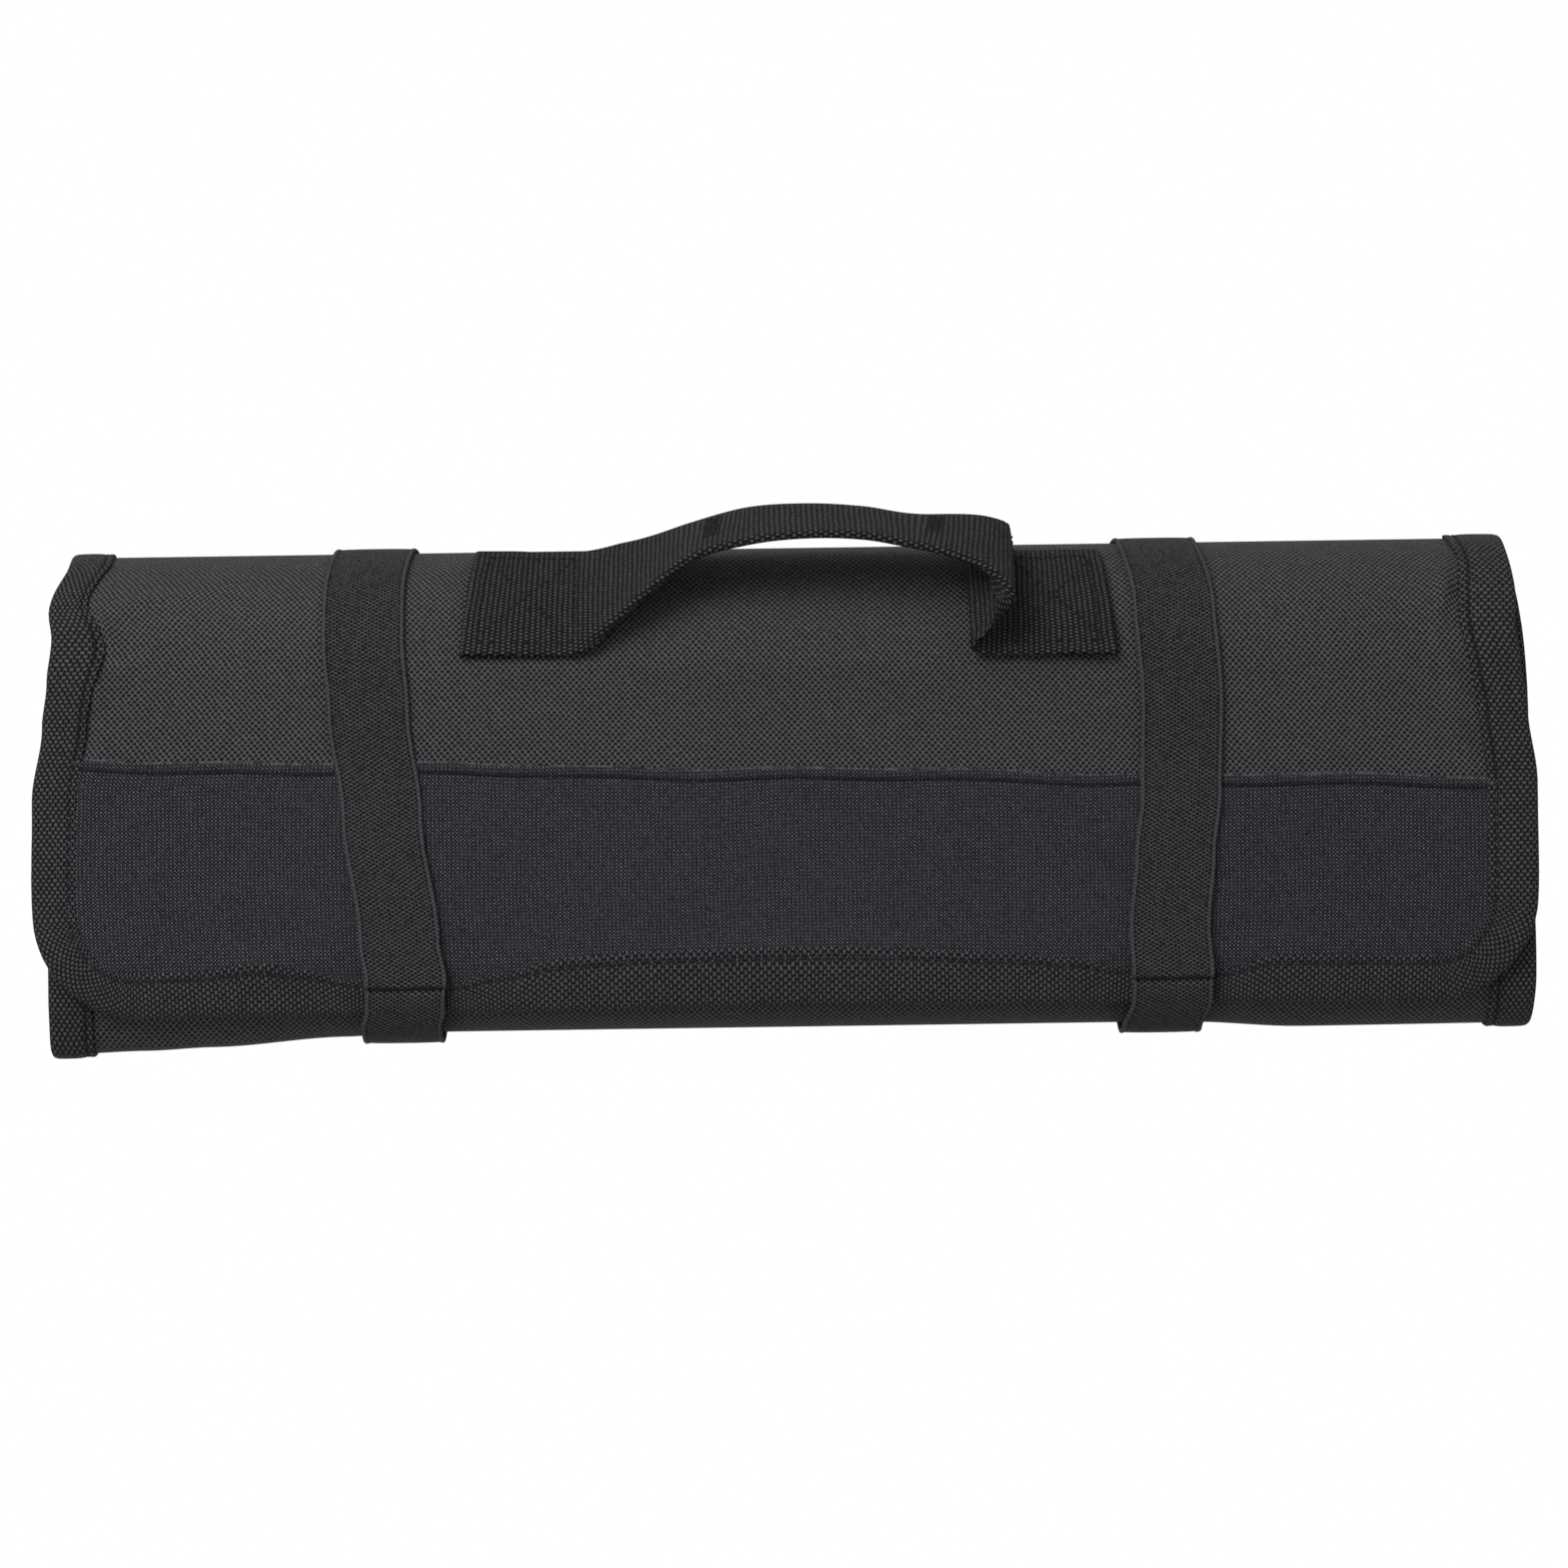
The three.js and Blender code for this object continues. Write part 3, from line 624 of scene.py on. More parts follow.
class RolledCloth:
    """The surface every sewn piece follows."""

    def __init__(self, sizes: RollSizes) -> None:
        """Lays out the roll.

        Args:
            sizes: Named sizes in millimetres.
        """
        self.sizes = sizes
        self.half_wall = sizes.wall / 2
        self.edge_out = sizes.gap + sizes.tape
        self.half_cloth = sizes.length / 2 - self.edge_out
        back_r = sizes.height / 2
        back_y = sizes.depth / 2 - back_r
        nose_y = sizes.nose_radius - sizes.depth / 2
        nose = Circle(nose_y, sizes.nose_radius, sizes.nose_radius - self.half_wall)
        back = Circle(back_y, back_r, back_r - self.half_wall)
        face = run_angle(nose, back)
        deep = sizes.nose_radius - sizes.bend_radius
        bend = Circle(
            nose_y + deep * math.cos(face) + sizes.bend_back * math.sin(face),
            sizes.nose_radius + deep * math.sin(face) - sizes.bend_back * math.cos(face),
            sizes.bend_radius - self.half_wall,
        )
        tuck_y = nose_y - sizes.tuck_forward
        circles = [
            bend, back,
            Circle(tuck_y, sizes.tuck_radius, sizes.tuck_radius - self.half_wall),
            Circle(back_y, back_r, back_r - sizes.layer_pitch - self.half_wall),
            Circle(tuck_y, sizes.tuck_radius, sizes.tuck_radius - sizes.layer_pitch - self.half_wall),
        ]
        self.circles = circles
        self.nose = nose
        face = run_angle(bend, back)
        self.belt = Belt(circles, face + sizes.flap_drop, sizes.leg, sizes.inner_tail)
        pieces = self.belt.pieces
        self.length = self.belt.total
        self.face_start = pieces[1].s
        self.back_start = pieces[2].s
        self.turn = pieces[4].s
        self.tuck_low = self.turn + circles[2].r * math.radians(18)
        self.tuck_high = self.turn + circles[2].r * math.radians(122)
        self.handle_s = self.back_start + circles[1].r * sizes.handle_round
        self.creases: list[Crease] = []
        self.shift = Vector((0, 0, 0))

    def lift(self, x: float, s: float) -> float:
        """Sums the large forms that stand off the plain spiral.

        Args:
            x: Flat position along the roll.
            s: Flat position from the free edge.

        Returns:
            Outward lift of the middle of the wall.
        """
        sizes = self.sizes
        lift = table_at(FLAP_ROWS, "lift", x / sizes.length) * sizes.layer_pitch
        lift *= 1 - ease(0, sizes.leg * 2.4, s)
        across = abs(s - self.handle_s)
        near = 1 - ease(sizes.band_width / 2, sizes.band_width * 0.85, across)
        inside = ease(sizes.handle_left - 14, sizes.handle_left + 4, x)
        inside *= 1 - ease(sizes.handle_right - 4, sizes.handle_right + 14, x)
        share = min(1.0, across / (sizes.band_width / 2))
        lift += sizes.flatten * (share * share - 0.5) * near * inside
        around = (s - self.tuck_low) / (self.tuck_high - self.tuck_low)
        if 0 < around < 1:
            flare = table_at(FLARE_ROWS, "flare", x / sizes.length) * sizes.nose_flare
            lift += flare * math.sin(math.pi * around) ** 2
        return lift

    def folds(self, x: float, s: float) -> float:
        """Sums the creases near a place.

        Args:
            x: Flat position along the roll.
            s: Flat position from the free edge.

        Returns:
            Outward height of the small folds and puckers.
        """
        total = 0.0
        for c in self.creases:
            dx, ds = x - c.x, s - c.s
            if abs(dx) > 2.2 * (c.length + c.width) or abs(ds) > 2.2 * (c.length + c.width):
                continue
            a = math.radians(c.turn)
            u = (dx * math.cos(a) + ds * math.sin(a)) / c.length
            v = (-dx * math.sin(a) + ds * math.cos(a)) / c.width
            q = u * u + v * v
            if q < 4.8:
                total += c.height * math.exp(-1.6 * q)
        return total

    def place(self, x: float, s: float, out: float, folds: float = 1.0) -> Vector:
        """Returns a point of the rolled cloth in millimetres.

        Args:
            x: Flat position along the roll.
            s: Flat position from the free edge.
            out: Distance outward from the middle of the wall.
            folds: Share of the small folds that this point follows.

        Returns:
            The point in the row frame.
        """
        sizes = self.sizes
        side = "left" if x < 0 else "right"
        squeeze = 1 - table_at(SIDE_ROWS, side, s / self.turn) * 2
        fade = 1 - ease(0, sizes.leg * 4, s)
        draw = table_at(FLAP_ROWS, "draw", x / sizes.length) * sizes.leg
        y, h, ny, nz = self.belt.at(s + draw * fade)
        d = out + self.lift(x, s)
        if folds:
            d += self.folds(x, s) * folds
        return Vector((x * squeeze, y + d * ny, h + d * nz)) + self.shift

    def half_width(self, s: float, half: float, radius: float, length: float) -> float:
        """Narrows a sheet at its rounded corners.

        Args:
            s: Distance from one end of the sheet.
            half: Half width away from the corners.
            radius: Corner radius.
            length: Length of the sheet.

        Returns:
            Half width at s.
        """
        dip = max(0.0, min(s, length - s))
        if dip >= radius:
            return half
        h = radius - dip
        return half - radius + math.sqrt(max(0.0, radius * radius - h * h))


# Mesh building.


class Part:
    """A mesh piece of the roll under construction."""

    def __init__(self, name: str) -> None:
        """Starts an empty piece.

        Args:
            name: Object name.
        """
        self.name = name
        self.points: list[Vector] = []
        self.flat: list[tuple[float, float]] = []
        self.faces: list[tuple[int, ...]] = []

    def add(self, point: Vector, u: float, v: float) -> int:
        """Adds a point with its flat position.

        Args:
            point: Place in millimetres.
            u: Flat position along.
            v: Flat position across.

        Returns:
            The point's number.
        """
        self.points.append(point * MM)
        self.flat.append((u, v))
        return len(self.points) - 1

    def grid(self, lines: Sequence[Sequence[int]], flip: bool = False) -> None:
        """Joins lines of points with quads.

        Args:
            lines: Point numbers, line by line.
            flip: Whether to turn the faces over.
        """
        for a, b in zip(lines, lines[1:]):
            for k in range(len(a) - 1):
                quad = (a[k], a[k + 1], b[k + 1], b[k])
                self.faces.append(quad[::-1] if flip else quad)

    def build(self, cloth: Cloth, slot: str, node: str | None) -> bpy.types.Object:
        """Makes the object and ties it to the frame.

        Args:
            cloth: Its finish.
            slot: Name of a material slot; not used.
            node: The CAD node it stands for, if any.

        Returns:
            The new object.
        """
        mesh = bpy.data.meshes.new(self.name)
        mesh.from_pydata([tuple(p) for p in self.points], [], self.faces)
        layer = mesh.uv_layers.new(name="flat_mm")
        loops = np.zeros(len(mesh.loops), dtype=np.int32)
        mesh.loops.foreach_get("vertex_index", loops)
        layer.data.foreach_set("uv", np.array(self.flat, dtype=np.float32)[loops].ravel())
        mesh.polygons.foreach_set("use_smooth", [True] * len(mesh.polygons))
        made = bpy.data.objects.new(self.name, mesh)
        bpy.context.scene.collection.objects.link(made)
        work = bmesh.new()
        work.from_mesh(mesh)
        bmesh.ops.remove_doubles(work, verts=work.verts, dist=2e-6)
        bmesh.ops.recalc_face_normals(work, faces=work.faces)
        work.to_mesh(mesh)
        work.free()
        mesh.materials.append(material_of(cloth))
        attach(made, "root")
        if node:
            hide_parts(node)
        log.info("%s: %d faces", self.name, len(mesh.polygons))
        return made


MATERIALS: dict[str, bpy.types.Material] = {}


def material_of(cloth: Cloth) -> bpy.types.Material:
    """Finds or makes a finish's material.

    Args:
        cloth: The finish.

    Returns:
        Its material, made once.
    """
    if cloth.name not in MATERIALS:
        MATERIALS[cloth.name] = cloth.material()
    return MATERIALS[cloth.name]


def steps(start: float, end: float, step: float) -> list[float]:
    """Returns evenly spaced values from start to end, about step apart."""
    count = max(1, round(abs(end - start) / step))
    return [start + (end - start) * k / count for k in range(count + 1)]


def spread(half: float, edge: float, fine: float, coarse: float) -> list[float]:
    """Returns shares from -1 to 1 across a sheet, closer together near both ends.

    Args:
        half: Half width of the sheet.
        edge: Width of the closely spaced part at each end.
        fine: Spacing there.
        coarse: Spacing between.

    Returns:
        The shares in order.
    """
    left = steps(-half, edge - half, fine)
    middle = steps(edge - half, half - edge, coarse)[1:-1]
    return [x / half for x in left + middle + [-x for x in reversed(left)]]


def ring_of(profile: Sequence[tuple[float, float]]) -> list[tuple[float, float, float]]:
    """Adds each point's distance round a closed outline.

    Args:
        profile: Points of the outline.

    Returns:
        The points with their distances, back to the first.
    """
    made, run = [], 0.0
    for k, p in enumerate(profile):
        if k:
            run += math.dist(p, profile[k - 1])
        made.append((*p, run))
    made.append((*profile[0], run + math.dist(profile[-1], profile[0])))
    return made


def rim(sheet: Sequence[Sequence[int]]) -> list[int]:
    """Walks round the edge of a grid.

    Args:
        sheet: Point numbers, row by row.

    Returns:
        Point numbers round its edge, back to the first.
    """
    right = [row[-1] for row in sheet[1:]]
    left = [row[0] for row in sheet[-2:0:-1]]
    return [*sheet[0], *right, *sheet[-1][-2::-1], *left, sheet[0][0]]


@dataclass
class Wrap:
    """The rolled canvas itself."""

    cloth: RolledCloth
    step: float = 2.6

    def build(self) -> bpy.types.Object:
        """Builds both faces of the canvas and its rim.

        Returns:
            The dressed canvas.
        """
        cloth, sizes = self.cloth, self.cloth.sizes
        part = Part("wrap_canvas")
        dips = [sizes.corner * (1 - math.cos(k / 8 * math.pi / 2)) for k in range(9)]
        lines = dips[:-1] + steps(sizes.corner, cloth.length - sizes.corner, self.step)
        lines += [cloth.length - d for d in dips[-2::-1]]
        shares = spread(cloth.half_cloth, 42.0, 1.2, 3.9)
        sheets = []
        for side in (1, -1):
            sheet = []
            for s in lines:
                half = cloth.half_width(s, cloth.half_cloth, sizes.corner, cloth.length)
                row = []
                for share in shares:
                    x = half * share
                    row.append(part.add(cloth.place(x, s, side * cloth.half_wall), x, s))
                sheet.append(row)
            part.grid(sheet, flip=side < 0)
            sheets.append(sheet)
        top, under = sheets

        part.grid([rim(top), rim(under)])
        made = part.build(UPPER_CANVAS, "wrap_canvas", "outer_wrap")
        return made


@dataclass
class FlapPanel:
    """The finer facing on the flap, with its turned and sewn top edge."""

    cloth: RolledCloth

    def seam(self, x: float) -> float:
        """Places the seam.

        Args:
            x: Flat position along the roll.

        Returns:
            How far the seam lies from the free edge.
        """
        sizes = self.cloth.sizes
        drop = sizes.facing_right - sizes.facing_left
        return sizes.facing_left + drop * (x / sizes.length + 0.5) + self.wave(x)

    @staticmethod
    def wave(x: float) -> float:
        """Returns the seam's small wander."""
        return 0.5 * math.sin(x * 0.045) + 0.35 * math.sin(x * 0.11 + 1.3)

    def build(self) -> bpy.types.Object:
        """Builds the facing.

        Returns:
            The dressed facing.
        """
        cloth, sizes = self.cloth, self.cloth.sizes
        part = Part("flap_facing")
        inset = sizes.leg - 6.0
        radius = sizes.corner - inset
        low = cloth.half_wall + 0.05
        high = cloth.half_wall + sizes.gap + sizes.facing
        shares = [0.0, 0.004, 0.012, 0.026, 0.05, 0.08] + steps(0.11, 0.9, 0.024)
        shares += [0.925, 0.94, 0.948, 0.958, 0.97, 0.982, 0.992, 0.998, 1.0]
        places = spread(cloth.half_cloth, 42.0, 1.3, 3.6)
        sheets = []
        for side in (1, 0):
            sheet = []
            for share in shares:
                row = []
                s_mid = inset + share * (sizes.facing_left - inset)
                half = cloth.half_width(s_mid - inset, cloth.half_cloth - inset, radius, 1e6)
                for place in places:
                    x = half * place
                    s = inset + share * (self.seam(x) - inset)
                    if side:
                        # Stitches pull the turned edge down, and the fold stands up beside them.
                        from_top = self.seam(x) - s
                        sewn = math.exp(-((from_top - 3.4) / 1.6) ** 2)
                        groove = 0.34 * math.exp(-((from_top - 3.4) / 0.7) ** 2)
                        roll = 0.55 * math.exp(-((from_top) / 0.5) ** 2)
                        puff = 0.22 * math.exp(-((from_top - 1.6) / 1.1) ** 2)
                        out = high - groove - roll + puff + 0.06 * math.sin(x * 1.85) * sewn
                    else:
                        out = low
                    row.append(part.add(cloth.place(x, s, out), x, s - share * self.wave(x)))
                sheet.append(row)
            part.grid(sheet, flip=side < 1)
            sheets.append(sheet)
        top, under = sheets

        part.grid([rim(top), rim(under)])
        made = part.build(PANEL_CANVAS, "panel_canvas", "flap_panel")
        return made


FRONT_TAPE = rows("at reach", """
-212 0; -200 .8; -180 1.2; -161 3.6; -147 1.2; -133 -2.4; -117 -3.4; -102 -4.0; -87 -.8; -68 3.2;
-44 4.4; 17 4.2; 66 3; 87 1.4; 102 -1.6; 119 -2.8; 133 -3; 151 1.7; 178 1.5; 200 1.2; 212 0""")
SIDE_TAPE = rows("at left right", """
-60 0 1.8; -20 0 1.3; -4 .6 1.8; -1 2 2.4; 8 3.6 3.4; 14 1.6 4; 22 -1.6 4; 27 -1.8 3; 34 -1.2 2.2;
42 0 3.4; 55 0 4.4; 85 0 0""")


@dataclass
class Binding:
    """The tape folded over the edge of the cloth all the way round."""

    cloth: RolledCloth

    def reach(self, station: tuple[float, float, float, float, float], reach: float) -> float:
        """Returns a reach from the edge moved by the tape's uneven width.

        Args:
            station: One place round the edge.
            reach: Distance outward from the edge of the cloth.

        Returns:
            The moved reach.
        """
        x, s, out_x, out_s, _ = station
        more = 0.0
        if s < 60:
            more += table_at(FRONT_TAPE, "reach", x) * max(0.0, -out_s)
        side = "left" if x < 0 else "right"
        more += table_at(SIDE_TAPE, side, s - self.cloth.back_start) * abs(out_x)
        return reach + more * min(0.0, reach) / self.cloth.sizes.leg

    def stations(self) -> list[tuple[float, float, float, float, float]]:
        """Returns places round the edge.

        Returns:
            Flat x and s, outward x and s, and the distance run.
        """
        cloth, sizes = self.cloth, self.cloth.sizes
        flat = cloth.half_cloth - sizes.corner
        length, r = cloth.length, sizes.corner
        stops: list[tuple[float, float, float, float]] = []

        def corner(cx: float, cs: float, start: float) -> None:
            """Adds a rounded corner's places.

            Args:
                cx: Middle of the corner along the roll.
                cs: Middle of the corner from the free edge.
                start: Angle at which it starts.
            """
            for k in range(17):
                a = start + k / 16 * math.pi / 2
                stops.append((cx + r * math.cos(a), cs + r * math.sin(a), math.cos(a), math.sin(a)))

        corner(-flat, r, math.pi)
        stops += [(x, 0.0, 0.0, -1.0) for x in steps(-flat, flat, 2.6)[1:-1]]
        corner(flat, r, -math.pi / 2)
        stops += [(cloth.half_cloth, s, 1.0, 0.0) for s in steps(r, length - r, 2.6)[1:-1]]
        corner(flat, length - r, 0.0)
        stops += [(x, length, 0.0, 1.0) for x in steps(flat, -flat, 5.0)[1:-1]]
        corner(-flat, length - r, math.pi / 2)
        stops += [(-cloth.half_cloth, s, -1.0, 0.0) for s in steps(length - r, r, 2.6)[1:-1]]
        made, run = [], 0.0
        for k, stop in enumerate(stops):
            if k:
                run += math.dist(stop[:2], stops[k - 1][:2])
            made.append((*stop, run))
        return made

    def build(self) -> bpy.types.Object:
        """Builds the tape round the whole edge.

        Returns:
            The dressed tape.
        """
        cloth, sizes = self.cloth, self.cloth.sizes
        part = Part("edge_binding")
        low = cloth.half_wall + 0.12
        high = cloth.half_wall + sizes.gap + sizes.tape
        out = cloth.edge_out
        leg = sizes.leg
        face = [
            (-leg, low + 0.1), (-leg - 0.1, high - 0.35), (-leg + 0.5, high - 0.05),
            (-leg + 1.5, high - 0.12), (-leg + 2.3, high - 0.42), (-leg + 3.1, high - 0.1),
            (-leg + 4.6, high + 0.06),
            (-leg * 0.45, high + 0.1), (-leg * 0.22, high + 0.06), (-0.9, high - 0.02), (0.3, high - 0.35),
            (out * 0.8, high - 0.9), (out, high - 1.6),
        ]
        inner = [(a, -b) for a, b in face[::-1]]
        back = [(-leg + 3.0, -low), (sizes.gap * 0.3, -low), (sizes.gap * 0.3, low), (-leg + 3.0, low)]
        profile = ring_of(face + inner + back)
        rings = []
        for station in self.stations():
            x, s, out_x, out_s, run = station
            ring = []
            wobble = 0.35 * noise.noise(Vector((run * 0.045, 3.1, 0.0)))
            wobble += 0.16 * noise.noise(Vector((run * 0.23, 9.1, 0.0)))
            puff = 1.0 + 0.5 * noise.noise(Vector((run * 0.11, 0.0, 5.0)))
            for reach, height, across in profile:
                away = max(0.0, min(1.0, (reach + leg) / leg))
                outer = abs(height) > cloth.half_wall + 0.3
                swell = 0.22 * (puff - 1.0) * math.copysign(1.0, height) if outer else 0.0
                reach2 = self.reach(station, reach) + wobble * (0.6 if reach < -leg + 4 else 0.25)
                ring.append(part.add(
                    cloth.place(x + reach2 * out_x, s + reach2 * out_s, height + swell, 1.0 - 0.4 * away),
                    run, across))
            rings.append(ring)
        gap = (part.points[rings[-1][0]] - part.points[rings[0][0]]).length / MM
        total = self.stations()[-1][4] + gap
        rings.append([part.add(part.points[i] / MM, total, part.flat[i][1]) for i in rings[0]])
        part.grid(rings)
        made = part.build(BINDING, "binding", "binding_tape")
        total * MM
        return made


@dataclass
class Stitches:
    """Rows of sewing thread lying on the cloth."""

    name: str
    length: float = 2.4
    gap: float = 0.9
    radius: float = 0.26
    runs: list[tuple[list[Vector], list[Vector]]] = field(default_factory=list)

    def row(self, points: list[Vector], normals: list[Vector]) -> None:
        """Adds one sewn line through points, with the cloth's normals."""
        self.runs.append((points, normals))

    def build(self, slot: str) -> bpy.types.Object:
        """Builds every row.

        Args:
            slot: Name of a material slot; not used.

        Returns:
            One object holding every stitch.
        """
        part = Part(self.name)
        for points, normals in self.runs:
            ends = [0.0]
            for a, b in zip(points, points[1:]):
                ends.append(ends[-1] + (b - a).length)
            total, start = ends[-1], self.gap / 2

            def at(d: float) -> tuple[Vector, Vector]:
                """Finds a place on the row.

                Args:
                    d: Distance along the row.

                Returns:
                    The place and the normal there.
                """
                k = min(len(ends) - 2, max(0, int(np.searchsorted(ends, d)) - 1))
                t = (d - ends[k]) / max(1e-6, ends[k + 1] - ends[k])
                return points[k].lerp(points[k + 1], t), normals[k].lerp(normals[k + 1], t)

            while start + self.length < total:
                middle = at(start + self.length * 0.5)
                self._stitch(part, at(start), middle, at(start + self.length), start)
                start += self.length + self.gap
        return part.build(THREAD, slot, None)

    def _stitch(self, part: Part, a: tuple[Vector, Vector], m: tuple[Vector, Vector],
                b: tuple[Vector, Vector], run: float) -> None:
        """Adds one stitch.

        Args:
            part: The mesh it joins.
            a: Place and normal where it starts.
            m: Place and normal at its middle.
            b: Place and normal where it ends.
            run: Distance along the row.
        """
        along = (b[0] - a[0]).normalized()
        rings = []
        for t in (0.0, 0.12, 0.35, 0.65, 0.88, 1.0):
            mid = a[0].lerp(b[0], t) + (m[0] - (a[0] + b[0]) / 2) * (4 * t * (1 - t))
            up = a[1].lerp(b[1], t).normalized()
            side = along.cross(up).normalized()
            bulge = math.sqrt(max(0.0, 1 - (2 * t - 1) ** 2))
            thick = self.radius * (0.35 + 0.65 * bulge if 0.0 < t < 1.0 else 0.25)
            sunk = self.radius * (0.9 * (2 * t - 1) ** 2 - 0.25)
            ring = []
            for k in range(6):
                w = math.tau * k / 6
                p = mid + side * (thick * math.cos(w)) + up * (thick * math.sin(w) - sunk)
                ring.append(part.add(p, run + t * self.length, k * 0.3))
            ring.append(ring[0])
            rings.append(ring)
        part.grid(rings)
        part.faces.append(tuple(rings[0][:6][::-1]))
        part.faces.append(tuple(rings[-1][:6]))


LEFT_STRAP = rows("at x sink", """
0 -.2575 0; .07 -.257 1; .105 -.2565 0; .125 -.253 0; .15 -.252 0; .18 -.256 0;
.28 -.2665 0; .36 -.2748 0; .42 -.278 0; .46 -.278 0; .54 -.275 0; .6 -.2735 0;
.8 -.27 0; 1 -.2575 0""")
RIGHT_STRAP = rows("at x sink", """
0 .25 0; .07 .25 1; .095 .2502 0; .125 .256 0; .15 .2562 0; .18 .2545 0;
.24 .2588 0; .29 .2632 0; .36 .2648 0; .44 .2612 0; .53 .254 0; .6 .252 0;
.8 .251 0; 1 .25 0""")


@dataclass
class Strap:
    """One elastic band round the bundle."""

    cloth: RolledCloth
    name: str
    node: str
    table: list[Row]
    crease_drop: float = 3.6
    crease_depth: float = 1.9
    crease_half: float = 0.8
    crease_narrow: float = 0.03

    def belt(self) -> Belt:
        """Winds the band's path round nose and back.

        Returns:
            The path of the band's middle.
        """
        cloth, sizes = self.cloth, self.cloth.sizes
        over_tape = cloth.half_wall + cloth.edge_out + sizes.strap_clear + sizes.strap / 2
        over_cloth = over_tape - sizes.strap_ease
        back = cloth.circles[1]
        front = Circle(cloth.nose.y, cloth.nose.z + sizes.strap_ease, cloth.nose.r + over_tape)
        rear = Circle(back.y, back.z, back.r + over_cloth)
        return Belt([front, rear, front], run_angle(rear, front) + math.tau, 0.0, 0.0)

    def build(self) -> bpy.types.Object:
        """Builds the band with its raised edges and its crease at the flap's edge.

        Returns:
            The dressed band.
        """
        cloth, sizes = self.cloth, self.cloth.sizes
        belt = self.belt()
        part = Part(self.name)
        half, thick = sizes.strap_width / 2, sizes.strap / 2
        edge = [
            (half, 0.0), (half - 0.15, thick * 0.85), (half - 0.5, thick + 0.12), (half - 0.95, thick + 0.1),
            (half - 1.5, thick - 0.12), (half - 4, thick - 0.02), (half / 3, thick + 0.05),
        ]
        profile = [(-across, out) for across, out in edge] + edge[::-1]
        profile += [(half - 0.3, -thick), (0, -thick), (-half + 0.3, -thick)]
        ring_profile = ring_of(profile)
        total = belt.total
        crease = belt.pieces[1].s - self.crease_drop
        rings = []
        lines = steps(0, crease - 4, 1.3)[:-1] + steps(crease - 4, crease + 4, 0.3)[:-1]
        for s in lines + steps(crease + 4, total, 1.3)[:-1]:
            y, h, ny, nz = belt.at(s)
            x = table_at(self.table, "x", s / total) * sizes.length
            sink = table_at(self.table, "sink", s / total) * sizes.strap_sink
            # The band dips at the flap's edge, rises over it and hugs the cloth above.
            fold = self.crease_depth * math.exp(-((s - crease) / self.crease_half) ** 2)
            over = ease(crease - 0.6, crease + 0.6, s) * (1 - ease(crease + 8, crease + 26, s))
            top = ease(belt.pieces[1].s + 12, belt.pieces[2].s - 10, s)
            hug = 0.75 * top * (1 - ease(total * 0.72, total * 0.78, s))
            narrow = 1.0 - self.crease_narrow * (1 - ease(crease - 1, crease + 1, s))
            narrow += 0.012 * math.sin(s * 0.05)
            wander = 0.25 * noise.noise(Vector((s * 0.03, 7.7, len(self.name))))
            ring = []
            for across, out, _ in ring_profile:
                d = out - sink - 0.75 * fold + 0.35 * over * (1 if out > 0 else 0.4) - hug
                px = x + across * narrow + wander
                ring.append(part.add(Vector((px, y + d * ny, h + d * nz)) + cloth.shift, s, across))
            rings.append(ring)
        rings.append([part.add(part.points[i] / MM, total, part.flat[i][1]) for i in rings[0]])
        part.grid(rings)
        made = part.build(ELASTIC, "elastic", self.node)
        total * MM
        return made


HANDLE_ROWS = rows("at rise lean crease roll push", """
-.8 0 0 .78 0 0; -.7 0 0 .78 0 0; -.62 .08 .2 .78 40 0; -.54 .2 .4 .66 135 0; -.44 .4 .7 .4 174 0;
-.3 .7 1 .08 180 0; -.12 .93 1 .03 180 0; .06 1 1.1 .03 180 0; .24 .96 1.16 .03 180 0; .38 .85 1.14 .05 180 0;
.48 .8 .9 .12 178 2; .55 .72 .7 .34 160 7; .6 .53 .5 .64 105 9; .64 .27 .3 .75 40 0; .675 .11 .1 .78 10 -10;
.71 .03 0 .78 0 -12.5; .76 0 0 .78 0 -8; .82 0 0 .78 0 -3; .9 0 0 .78 0 0""")


@dataclass
class Stop:
    """One station along the handle webbing."""

    x: float
    h: float
    lean: float = 0.0
    crease: float = 0.78
    roll: float = 0.0
    flat: float = 1.0


